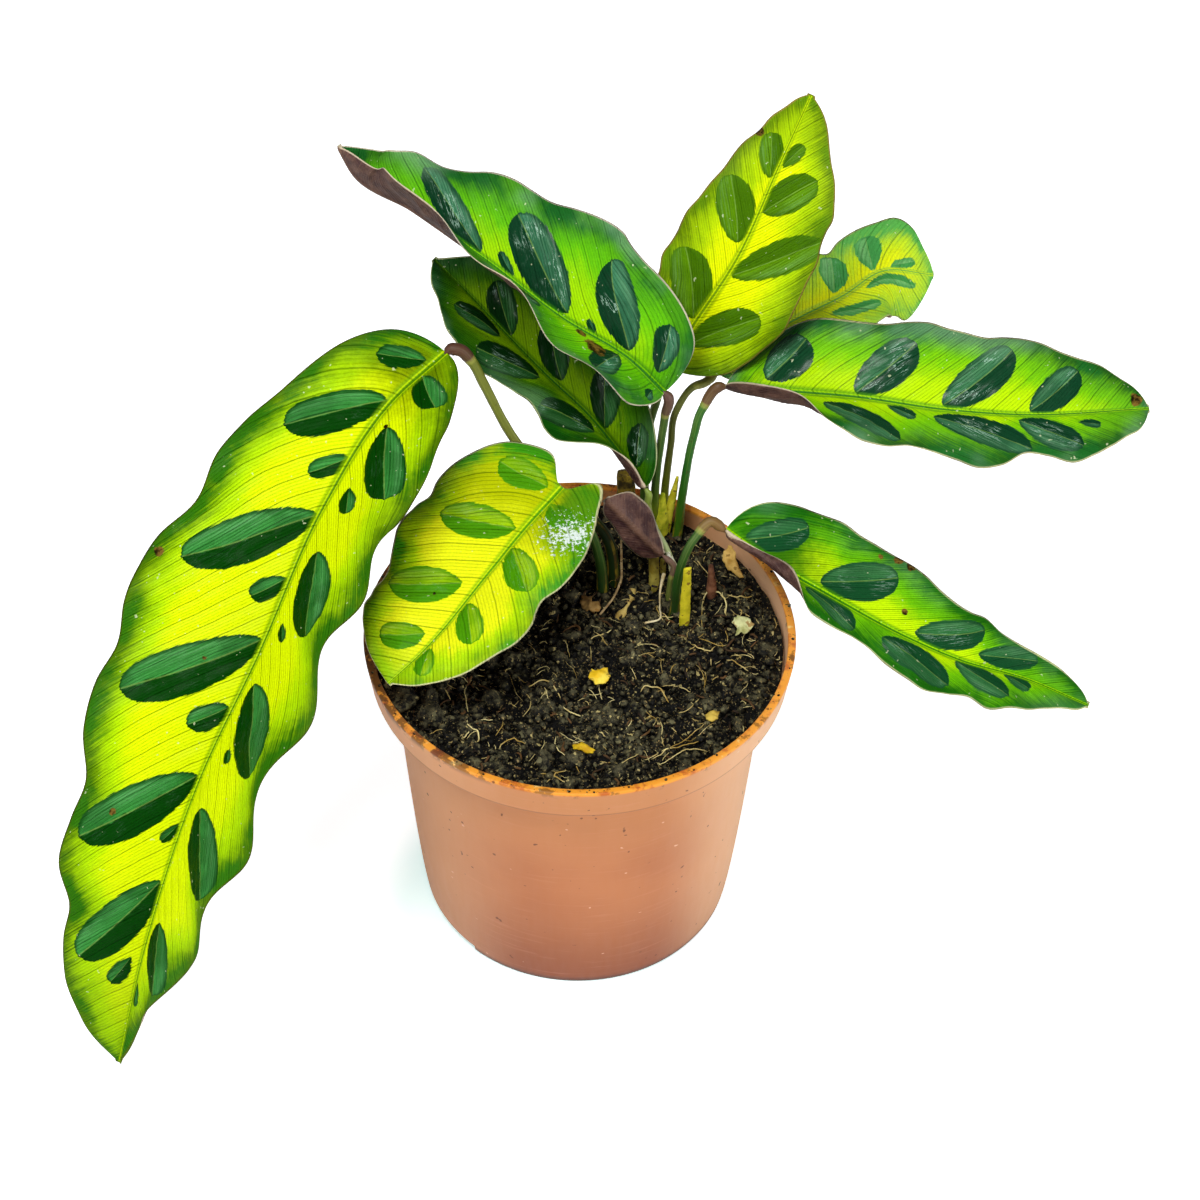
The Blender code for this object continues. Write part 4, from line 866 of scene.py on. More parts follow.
def blade_surface(leaf, t, q):
    """Middle of a blade: t from base to tip, q from the left margin, -1, to the right, 1.

    Each half leaves the rib on an arc that starts at the angle 'rise' and turns by 'curl'. The
    outer part waves, with crests that run out and forward as the side veins do. A 'lobe'
    draws the base back beside the rib.
    """
    place, direction = along(leaf["rib"], t)
    face = smooth(leaf["face"], t)
    normal = unit(face - (face * direction).sum(-1, keepdims=True) * direction)
    across = np.cross(direction, normal)
    out = np.abs(q)
    total = np.zeros_like(place)
    for index, sign in ((0, -1.0), (1, 1.0)):
        width = half_width(leaf, t, index)
        start = np.radians(smooth(leaf["rise"][index], t))
        turn = np.radians(smooth(leaf["curl"][index], t))
        turn = np.where(np.abs(turn) < 1e-3, 1e-3, turn)
        angle = start + turn * out
        reach = (np.sin(angle) - np.sin(start)) / turn * width
        climb = (np.cos(start) - np.cos(angle)) / turn * width
        count, phase, height = leaf["wave"][index]
        crest = np.sin(2 * math.pi * (count * (t - leaf["sweep"] * out) + phase))
        swell = height * out**2 * np.sin(math.pi * np.clip(t, 0, 1))**0.5 * crest
        back = drawn_back(leaf, index, t, out, width)
        shift = ((reach - swell * np.sin(angle))[..., None] * sign * across
                 + (climb + swell * np.cos(angle))[..., None] * normal - back[..., None] * direction)
        total += np.where((np.where(q < 0, -1.0, 1.0) == sign)[..., None], place + shift, 0.0)
    return total


def blade_normal(leaf, t, q):
    """Direction of the upper face, from small steps along and across the blade."""
    step = 2e-3
    lengthwise = (blade_surface(leaf, np.clip(t + step, 0, 1), q)
                  - blade_surface(leaf, np.clip(t - step, 0, 1), q))
    crosswise = (blade_surface(leaf, t, np.clip(q + step, -1, 1))
                 - blade_surface(leaf, t, np.clip(q - step, -1, 1)))
    return unit(np.cross(crosswise, lengthwise))


def blade_rows(leaf, length):
    """Shares along the rib that are evenly spaced on the outline of the two margins."""
    t = np.linspace(0.0, 1.0, 2001)
    width = (half_width(leaf, t, 0) + half_width(leaf, t, 1)) / 2
    run = np.concatenate([[0.0], np.cumsum(np.hypot(np.diff(t) * length, np.diff(width)))])
    return np.interp(np.linspace(0.0, run[-1], int(run[-1] / BLADE_STEP)), run, t)


def oval_marks(leaf, forward, outward, left):
    """Distance outside the nearest oval in millimetres, and place across it from -1 to 1.

    An oval lies between its two ends, bowed a little towards the tip of the leaf. At the share a
    from the rib its half width follows a to the power 0.6 times 1-a to the power 0.42, so it is
    slimmer there. A mark shorter than SMALL_MARK is pointed at the rib and blunt outside instead.
    """
    nearest = np.full(forward.shape, 50.0)
    across = np.zeros(forward.shape)
    for index in (0, 1):
        own = left == (index == 0)
        for x0, y0, x1, y1, half in leaf["ovals"][index]:
            length = math.hypot(x1 - x0, y1 - y0)
            ux, uy = (x1 - x0) / length, (y1 - y0) / length
            a = ((forward - x0) * ux + (outward - y0) * uy) / length
            inside = np.clip(a, 0.0, 1.0)
            bow = OVAL_BOW * length * inside * (1 - inside)
            side = (forward - x0) * uy - (outward - y0) * ux - bow
            width = half * OVAL_FULLNESS * inside**0.6 * (1 - inside)**0.42
            if length < SMALL_MARK:
                width = half * np.interp(inside, (0.0, 0.3, 0.55, 0.88, 1.0), (0.1, 0.8, 1.05, 0.9, 0.45))
            beyond = np.maximum(np.maximum(-a, a - 1.0), 0.0) * length
            distance = np.abs(side) - width
            distance = np.where(beyond > 0, np.maximum(distance, beyond), distance)
            closer = own & (distance < nearest)
            nearest = np.where(closer, distance, nearest)
            across = np.where(closer, side / half, across)
    return nearest, across


def spot_marks(spots, forward, outward):
    """Depth in the nearest spot: 1 in its middle, falling evenly to 0 at twice its radius."""
    depth = np.zeros(forward.shape)
    for x, y, radius in spots:
        depth = np.maximum(depth, 1.0 - np.hypot(forward - x, outward - y) / (2 * radius))
    return depth


def blade_marks(leaf, t, q, length):
    """Numbers stored on a blade's points, from which its pattern and relief are made.

    The vein place is the forward place, less the slope times the outward place, less VEIN_BEND times
    its square. It is the same all along a side vein. The left veins start a little ahead. The edge is
    the distance to the margin, cut short near the ends. In 'oval' the marks are below zero.
    """
    left = q < 0
    width = np.where(left, half_width(leaf, t, 0), half_width(leaf, t, 1))
    run = t * length
    outward = np.abs(q) * width
    forward = run - np.where(left, drawn_back(leaf, 0, t, q, width), drawn_back(leaf, 1, t, q, width))
    ends = np.minimum(run, length - run)
    edge = np.minimum(width - outward, ends * 1.2 + 0.3 * (width - outward))
    slope = np.where(left, *leaf["slope"]) * (0.35 + 0.65 * np.clip(t / 0.3, 0, 1))
    vein = forward - slope * outward - VEIN_BEND * outward**2 + LEFT_VEINS_AHEAD * left
    oval, axis = oval_marks(leaf, forward, outward, left)
    signed = np.where(left, -outward, outward)
    scar, glint, shade = (spot_marks(leaf.get(spots, []), forward, signed)
                          for spots in ("scars", "glints", "shades"))
    return dict(rib=outward, edge=edge, vein=vein, oval=oval, axis=axis, share=t, forward=forward,
                scar=scar, glint=glint, shade=shade)


def relief(number, marks):
    """Height of the upper face over the smooth sheet, in millimetres.

    Quilting sinks along each side vein, a groove runs along the rib, and slow chance swells and
    fine puckers inside the ovals break the evenness. All but the groove fades out at the margin.
    """
    forward, outward, vein = marks["forward"], marks["rib"], marks["vein"]
    calm = np.clip(outward / 5.0, 0.0, 1.0) * np.clip(marks["edge"] / 2.0, 0.0, 1.0)
    quilt = np.abs(np.sin(math.pi * vein / VEIN_GAP))**0.7
    fine = np.abs(np.sin(math.pi * vein / PUCKER_GAP))
    pucker = chance(forward, outward + 40 * number, 2.2, 40 + number) * np.clip(-marks["oval"], 0.0, 1.5)
    swell = chance(forward, outward, 13.0, 60 + number) * 0.5
    swell += chance(forward, outward, 6.0, 80 + number) * 0.2
    groove = -0.5 * np.exp(-(outward / 0.9)**2) * (1.0 - 0.6 * marks["share"])
    return calm * (0.30 * quilt + 0.05 * fine + 0.1 * pucker + swell) + groove


def blade_piece(name, number, leaf, materials):
    """Closed sheet: upper and lower grids that share their border, with marks stored on the points."""
    length = path_length(leaf["rib"])
    rows = blade_rows(leaf, length)
    per_side = [int(max(half_width(leaf, rows, side)) / BLADE_STEP) for side in (0, 1)]
    q = np.concatenate([np.linspace(-1.0, 0.0, per_side[0] + 1),
                        np.linspace(0.0, 1.0, per_side[1] + 1)[1:]])
    t, q = np.meshgrid(rows, q, indexing="ij")
    marks = blade_marks(leaf, t, q, length)
    middle = blade_surface(leaf, t, q)
    normal = blade_normal(leaf, t, q)
    ends = np.minimum(t * length, length - t * length)
    rim = np.sqrt(np.clip(1.0 - np.abs(q)**10, 0.0, 1.0)) * np.clip(ends / 1.2, 0.0, 1.0)**0.5
    lift = relief(number, marks)
    keel = KEEL * (1.0 - 0.8 * t) * np.exp(-(marks["rib"] / 1.1)**2) * np.clip(ends / 2.0, 0.0, 1.0)
    upper = middle + normal * (lift * rim + BLADE_THICKNESS / 2 * rim)[..., None]
    lower = middle + normal * ((lift - BLADE_THICKNESS / 2) * rim - keel)[..., None]
    index = np.arange(t.size).reshape(t.shape)
    under = index + t.size
    for border in (np.s_[0, :], np.s_[-1, :], np.s_[:, 0], np.s_[:, -1]):
        under[border] = index[border]
    top = sheet_faces(*t.shape)
    bottom = under.ravel()[top[:, ::-1]]
    places = np.concatenate([upper.reshape(-1, 3), lower.reshape(-1, 3)])
    used, new = np.unique(np.concatenate([top.ravel(), bottom.ravel()]), return_inverse=True)
    numbers = {label: np.concatenate([values.ravel()] * 2)[used] for label, values in marks.items()}
    piece = new_piece(name, places[used], new.reshape(-1, 4).tolist(), materials, numbers)
    piece.data.polygons.foreach_set("material_index", np.repeat([0, 1], len(top)).astype(np.int32))
    return piece


def vein_lines():
    """Group: strong and fine side veins, and noises stretched along them, from the stored vein place."""
    tree, w, _, result = new_group("vein_lines", {}, {
        "Strong": "Float", "Fine": "Float", "Streak": "Float", "Saw": "Float", "Wrinkle": "Float"})
    vein, rib = w.read("vein"), w.read("rib")
    wander = w.around(w.noise(w.place(), 180.0), 0.7)
    for label, spacing, sharp in (("Strong", VEIN_GAP, 0.045), ("Fine", FINE_VEIN_GAP, 0.2)):
        turn = w.maths("FRACT", w.plus(w.over(w.plus(vein, wander), spacing), 100.0))
        away = w.maths("MINIMUM", turn, w.minus(1.0, turn))
        w.link(w.step(away, sharp, 0.0), result.inputs[label])
    for label, across, lengthwise, detail in (("Streak", 1.1, 0.09, 4.0), ("Saw", 1.9, 0.22, 3.0),
                                              ("Wrinkle", 0.55, 0.2, 5.0)):
        flow = w.node("CombineXYZ", {0: w.times(vein, across), 1: w.times(rib, lengthwise)}).outputs[0]
        w.link(w.noise(flow, 1.0, detail, 0.6), result.inputs[label])
    return tree


TONES = ("Inner", "Outer", "Band", "Base", "Oval Light", "Oval Dark", "Margin")


def leaf_pattern(veins):
    """Group: the calathea's markings, painted light and shade, relief and gloss from a blade's stored
    numbers.
    """
    tree, w, given, result = new_group(
        "leaf_pattern", {**{tone: "Color" for tone in TONES},
                         "Band Width": "Float", "Base Reach": "Float", "Wet": "Float"},
        {"Colour": "Color", "Height": "Float", "Roughness": "Float", "Gloss": "Float"})
    inner, outer, band, base, light, dark, margin = (given[tone] for tone in TONES)
    place = w.place()
    lines = w.node("Group", node_tree=veins).outputs
    strong, fine, streak, wrinkle = (lines[label] for label in ("Strong", "Fine", "Streak", "Wrinkle"))
    rib, edge, oval, axis = (w.read(label) for label in ("rib", "edge", "oval", "axis"))
    share, forward, scar = (w.read(label) for label in ("share", "forward", "scar"))
    glint, shade = w.read("glint"), w.read("shade")
    cloud = w.noise(place, 70.0, 3.0)
    mottle = w.noise(place, 420.0, 3.0, 0.6)
    grain = w.noise(place, 1700.0, 3.0, 0.7)

    # Ground between the marks: bands that follow the margin, the base's tone, and the veins
    inward = w.plus(edge, w.around(streak, 9.0))
    inward = w.plus(inward, w.plus(w.around(mottle, 3.0), w.around(cloud, 9.0)))
    inward = w.over(inward, given["Band Width"])
    reach = w.plus(w.minus(forward, given["Base Reach"]), w.around(cloud, 14.0))
    reach = w.plus(reach, w.around(mottle, 10.0))
    dusky = w.mix(w.step(cloud, 0.42, 0.6), band, w.mix(0.5, band, base))
    ground = w.paint(
        w.mix(w.step(inward, 2.2, 1.0), inner, outer),
        (w.step(share, 0.8, 1.0), 0.8, w.mix(0.4, outer, band)),
        (w.step(reach, 6.0, -14.0), 0.95, base),
        (w.step(inward, 1.3, 0.6), 0.7, w.mix(0.5, outer, dusky)),
        (w.step(inward, 0.9, 0.2), 0.95, dusky))
    ground = w.paint(ground, (strong, 0.55, w.mix(0.5, ground, band)), (fine, 0.1, band))

    # Ovals: a painted lit half and painted shaded half, painted sheen along the veins, thin crazed
    # lines of painted highlight and a dark ragged edge
    # Painted light and shade: each oval's lit half and shaded half
    halves = w.step(w.plus(axis, w.around(mottle, 0.3)), -0.07, 0.07)
    # Painted sheen in streaks over the lit half
    sheen = w.times(w.step(streak, 0.36, 0.68), w.step(axis, -0.05, -0.75))
    light = w.paint(light, (sheen, 0.22, (150, 200, 150)), (w.step(cloud, 0.56, 0.42), 0.4, dark))
    # Painted highlights: thin crazed bright lines in the ovals, stronger on glossier leaves
    highlight_crackle = w.step(w.absolute(w.minus(wrinkle, 0.5)), 0.022, 0.0)
    highlight_crackle = w.times(w.times(highlight_crackle, w.step(w.noise(place, 90.0, 2.0), 0.48, 0.6)), given["Wet"])
    ragged = w.plus(oval, w.plus(w.around(mottle, 0.6), w.around(lines["Saw"], 1.7)))
    inside = w.paint(
        w.mix(halves, light, dark),
        (w.step(streak, 0.6, 0.4), 0.25, dark),
        (fine, 0.3, dark),
        (highlight_crackle, w.step(oval, -0.8, -2.2), (186, 224, 204)),
        # A pale vein along each oval's axis, with a painted highlight along it
        (w.step(w.absolute(axis), 0.05, 0.0), 0.4, (150, 190, 90)),
        (w.step(ragged, -1.6, -0.2), 0.8, dark))
    in_oval = w.step(ragged, 0.16, -0.16)

    # Both joined under a painted sheen near the margin, the rib that narrows towards the tip, patches of
    # painted shade, pale dots, painted shade and white flecks of painted glare in the glint patches, the
    # margin's line, burnt spots and a fine grain over all
    # Painted sheen: a dull pale reflection near the margin
    margin_sheen = w.times(w.step(edge, 8.0, 1.0), w.step(w.noise(place, 45.0, 3.0), 0.46, 0.66))
    slim = w.over(rib, w.minus(1.0, w.times(share, 0.65)))
    beside_rib = w.times(w.step(slim, 0.9, 0.75), w.step(slim, 0.35, 0.5))
    # Painted shade in patches, on a curled lobe
    dusk = w.step(w.plus(shade, w.around(mottle, 0.3)), 0.12, 0.55)
    # Pale dots scattered over the blade
    pale_dots = w.step(w.noise(place, 760.0, 1.0), 0.74, 0.79)
    # Painted glare: white flecks in the glint patches
    glare_flecks = w.step(w.plus(w.noise(place, 900.0, 3.0, 0.7), w.times(glint, 0.3)), 0.7, 0.78)
    burnt = w.step(w.plus(scar, w.around(mottle, 0.7)), 0.4, 0.55)
    colour = w.paint(
        w.mix(in_oval, ground, inside),
        (margin_sheen, w.times(given["Wet"], 0.38), (150, 196, 156)),
        (w.step(slim, 2.3, 1.1), 0.7, w.mix(0.55, outer, band)),
        (w.step(slim, 1.1, 0.8), 0.85, w.mix(0.3, outer, band)),
        (beside_rib, 0.5, inner),
        (dusk, 0.85, w.mix(0.35, dark, (16, 84, 30))),
        (w.step(slim, 0.5, 0.2), 0.7, band),
        (pale_dots, 0.55, (232, 240, 196)),
        # Painted shade in the middle of each glint patch
        (w.step(glint, 0.1, 0.7), 0.75, dark),
        (glare_flecks, w.step(glint, 0.0, 0.2), (236, 250, 244)),
        (w.step(edge, 0.6, 0.25), 0.85, margin),
        (burnt, 1.0, w.mix(w.step(mottle, 0.42, 0.6), (34, 24, 4), (126, 98, 40))))
    grey = w.plus(0.75, w.times(grain, 0.5))
    grey = w.node("CombineColor", {index: grey for index in range(3)}).outputs[0]
    w.link(w.mix(1.0, colour, grey, "MULTIPLY"), result.inputs["Colour"])

    # Relief, roughness and the gloss that pools in the ovals
    height = w.plus(w.times(fine, -0.6), w.times(mottle, 0.8))
    height = w.plus(height, w.plus(w.times(grain, 0.5), w.times(strong, -1.2)))
    crease = w.times(wrinkle, w.step(oval, 0.0, -1.5))
    w.link(w.plus(height, w.times(crease, 3.0)), result.inputs["Height"])
    w.link(w.plus(0.26, w.times(w.plus(mottle, cloud), 0.14)), result.inputs["Roughness"])
    wet = w.times(w.times(in_oval, w.step(wrinkle, 0.4, 0.62)), given["Wet"])
    w.link(w.plus(0.01, w.times(wet, 0.4)), result.inputs["Gloss"])
    return tree


def leaf_top(name, leaf, pattern):
    """Living upper skin: the leaf pattern under a thin waxy gloss that pools in the ovals."""
    material, w, shader = new_material(name, Specular_IOR_Level=0.03, Coat_Roughness=0.2)
    group = w.node("Group", node_tree=pattern)
    for tone, colour in zip(TONES, leaf["tones"]):
        group.inputs[tone].default_value = screen(*colour)
    group.inputs["Band Width"].default_value = leaf["band"]
    group.inputs["Base Reach"].default_value = leaf["base"]
    group.inputs["Wet"].default_value = leaf["wet"]
    made = group.outputs
    w.link(made["Gloss"], shader.inputs["Coat Weight"])
    link_finish(w, shader, made["Colour"], made["Roughness"], made["Height"], 0.8, 0.0003)
    return material


def leaf_under(veins):
    """Wine-brown underside with paler ribs, a pale margin and soft velvet roughness."""
    material, w, shader = new_material("leaf_underside", Specular_IOR_Level=0.3)
    place = w.place()
    lines = w.node("Group", node_tree=veins).outputs
    mottle = w.noise(place, 300.0, 4.0, 0.65)
    grain = w.noise(place, 1500.0, 3.0, 0.7)
    colour = w.paint(
        w.mix(w.step(mottle, 0.35, 0.7), (60, 34, 34), (104, 74, 64)),
        (w.step(w.read("oval"), 0.4, -0.4), 0.4, (50, 26, 32)),
        (lines["Strong"], 0.22, (136, 104, 86)),
        (lines["Fine"], 0.15, (120, 88, 74)),
        (w.step(w.read("rib"), 1.2, 0.4), 0.4, (130, 96, 74)),
        (w.step(grain, 0.6, 0.72), 0.3, (176, 150, 130)),
        (w.step(w.read("edge"), 0.6, 0.2), 0.8, (222, 206, 176)))
    height = w.plus(w.times(lines["Fine"], 0.5), w.plus(mottle, w.times(grain, 0.5)))
    link_finish(w, shader, colour, w.ramp(mottle, 0.35, 0.65), height, 0.6, 0.0003)
    return material


vein_group = vein_lines()
pattern_group = leaf_pattern(vein_group)
underside = leaf_under(vein_group)
for number, (name, leaf) in enumerate(LEAVES.items()):
    upper_side = leaf_top(f"{name}_upper", leaf, pattern_group)
    blade = blade_piece(f"{name}_skin", number, leaf, [upper_side, underside])
    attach(blade, "root")
    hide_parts(f"{name}_blade")


# Leaf stalks
# Each leaf stands on a round stalk that rises from the crown, thick and sheathed at the foot, with
# a short swollen joint under the blade by which the living leaf tilts.
STEM_DEPTH = 9.0
ROOT_LEAN = 0.92
STALK_SIDES = 20
STALK_STEP = 0.7
UNDER_RIB = 2.0
END_INSIDE = 0.8
JOINT_LENGTH = 11.0

# Places above the soil, radius, swelling at the foot, how far the stalk follows the rib's line
# before the blade (None ends it under the rib), and the colours of foot, middle and joint.
STALKS = {
    "leaf_1": ([(9, 26.5, 94.5), (6.8, 29.3, 108.5), (-5.5, 36, 118), (-19.7, 41, 135),
                (-27.9, 44, 152.5), (-31.2, 45.2, 159.5), (-34.5, 45.5, 163.2)],
               1.5, 0.35, 1.0, (24, 50, 8), (110, 116, 30), (84, 50, 36)),
    "leaf_2": ([(6, 21.3, 94.5), (5, 22, 107), (1, 22.5, 119.5)], 1.5, 0.5, None, (26, 58, 10),
               (44, 80, 14), (100, 130, 30)),
    "leaf_3": ([(20.5, 40.2, 94.5), (20.3, 41.5, 111), (20.7, 42, 122.5), (21.6, 42, 134),
                (22.4, 42, 143)],
               1.25, 0.6, 1.0, (140, 160, 24), (52, 92, 26), (92, 62, 54)),
    "leaf_4": ([(26.5, 25, 94.5), (26, 25.3, 100), (23.8, 27, 106.5), (20.5, 29.6, 112),
                (18.3, 32.6, 117.5)],
               0.9, 0.35, 1.0, (214, 220, 170), (196, 212, 150), (130, 150, 60)),
    "leaf_5": ([(17.5, 45, 94.5), (17.5, 48.5, 108), (18, 52.5, 127), (21, 55, 142)], 1.3, 0.35, 4,
               (60, 90, 30), (84, 120, 30), (110, 130, 40)),
    "leaf_6": ([(22.8, 44, 94.5), (23.3, 46, 112), (24.5, 48, 127), (25.5, 49.5, 137.5), (30, 54, 143)],
               1.1, 0.7, 4, (140, 160, 24), (104, 110, 30), (130, 132, 40)),
    "leaf_7": ([(26.6, 41, 94.5), (28.2, 42.4, 113), (30.7, 43, 135), (32.8, 43.3, 145)], 1.3, 0.35, 1.0,
               (64, 110, 14), (34, 104, 24), (98, 66, 40)),
    "leaf_8": ([(26.3, 13, 94.5), (26.8, 12.5, 108), (28.2, 12, 117), (31.3, 12.8, 125)], 1.3, 0.7, 4,
               (24, 58, 10), (44, 86, 22), (120, 88, 44)),
    "leaf_9": ([(24.5, 19.5, 94.5), (25, 20.5, 100)], 0.8, 0.35, 4, (90, 100, 40), (90, 100, 40),
               (110, 80, 70)),
}


def tube(places, way, widths, depths, face, sides=STALK_SIDES):
    """Closed tube of oval section along a path, and the share along and round it at each point."""
    normal = unit(face - (way @ face)[:, None] * way)
    across = np.cross(way, normal)
    angle = 2 * math.pi * np.arange(sides) / sides
    rings = (places[:, None] + (widths[:, None] * np.cos(angle))[..., None] * across[:, None]
             - (depths[:, None] * np.sin(angle))[..., None] * normal[:, None])
    vertices, faces = closed_rings(rings, places[0] - way[0] * 0.2, places[-1] + way[-1] * 0.2)
    share, turn = np.meshgrid(np.linspace(0, 1, len(places)), angle / (2 * math.pi), indexing="ij")
    return vertices, faces, {"share": np.append(share.ravel(), [0.0, 1.0]),
                             "turn": np.append(turn.ravel(), [0.0, 0.0])}


def stalk_skin(name, foot, middle, joint):
    """Green stalk: three tones along it, fine pale ridges, papery strips at the foot, dark flecks."""
    material, w, shader = new_material(name, Specular_IOR_Level=0.4)
    place = w.place()
    share, near_joint = w.read("share"), w.read("joint")
    blotch = w.noise(place, 220.0, 3.0, 0.6)
    drift = w.plus(share, w.around(blotch, 0.12))
    flow = w.node("CombineXYZ", {0: w.times(w.read("turn"), 14.0), 1: w.times(share, 2.0)}).outputs[0]
    lines = w.noise(flow, 1.0, 3.0)
    ring = w.times(w.step(near_joint, 0.2, 0.4), w.step(near_joint, 0.8, 0.6))
    colour = w.paint(
        w.mix(w.step(drift, 0.2, 0.55), foot, middle),
        (w.step(w.plus(near_joint, blotch), 0.9, 1.15), 1.0, joint),
        (ring, 0.35, (196, 196, 90)))
    strips = w.times(w.step(lines, 0.5, 0.6), w.step(drift, 0.42, 0.2))
    colour = w.paint(
        colour,
        (w.step(lines, 0.5, 0.75), 0.35, w.mix(0.5, colour, (200, 210, 120))),
        (strips, 0.7, w.mix(w.step(blotch, 0.4, 0.6), (84, 52, 14), (190, 160, 40))),
        (w.step(w.noise(place, 700.0, 1.0), 0.68, 0.76), 0.4, (70, 50, 30)))
    link_finish(w, shader, colour, w.ramp(blotch, 0.35, 0.65), w.plus(lines, blotch), 0.6, 0.0002)
    return material


def stalk_path(leaf, points, lead):
    """Places along a stalk: a root end under the soil, the given places, then into the blade's rib."""
    rib_start, rib_way = along(leaf["rib"], 0.0)
    face = np.asarray(leaf["face"][0], float)
    upward = unit(face - np.dot(face, rib_way) * rib_way)
    foot = rib_start - rib_way * 0.3 - upward * (KEEL / 2)
    if lead is None:
        foot = rib_start + rib_way * UNDER_RIB - upward * (KEEL + 0.3)
        rib_way = upward
        lead = 4.0
    root = np.asarray(points[0], float) * (ROOT_LEAN, ROOT_LEAN, 1.0) - (0.0, 0.0, STEM_DEPTH)
    return np.array([root, *points, foot - rib_way * lead, foot, foot + rib_way * END_INSIDE])


def stalk_piece(name, leaf, points, radius, foot, lead, material):
    """Stalk whose radius swells at the foot and again in the joint, where fine rings crease it."""
    path = stalk_path(leaf, points, lead)
    length = path_length(path)
    t = np.linspace(0.0, 1.0, int(length / STALK_STEP))
    places, way = along(path, t)
    left = (1.0 - t) * length
    joint = np.clip(3.0 * np.clip(1.0 - left / JOINT_LENGTH, 0.0, 1.0), 0.0, 1.0)
    radii = radius * (1.0 + foot * (1.0 - t)**3 - 0.15 * np.sin(math.pi * t))
    radii = radii * (1.0 + 0.2 * joint) * np.clip(0.25 + left / 3.0, 0.25, 1.0)
    radii = radii * (1.0 + 0.03 * chance(t * length, 0 * t, 3.0, 5) + 0.025 * joint * np.sin(left * 5.0))
    vertices, faces, numbers = tube(places, way, radii, radii, np.array([0.0, -1.0, 0.3]))
    numbers["joint"] = np.append(np.repeat(joint, STALK_SIDES), [0.0, 1.0])
    return new_piece(f"{name}_stem", vertices, faces, [material], numbers)


for name, (points, radius, foot, lead, low, middle, joint) in STALKS.items():
    stem = stalk_piece(name, LEAVES[name], points, radius, foot, lead,
                       stalk_skin(f"{name}_stem_skin", low, middle, joint))
    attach(stem, "root")
    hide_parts(f"{name}_stalk")


# Sheaths, stubs and dry threads
# The dry remains at the crown: papery yellow sheaths, cut stalk ends, a brown shoot, and dead
# stalks and threads that hang down and lie on the peat.
REMAINS_POINTS = 60

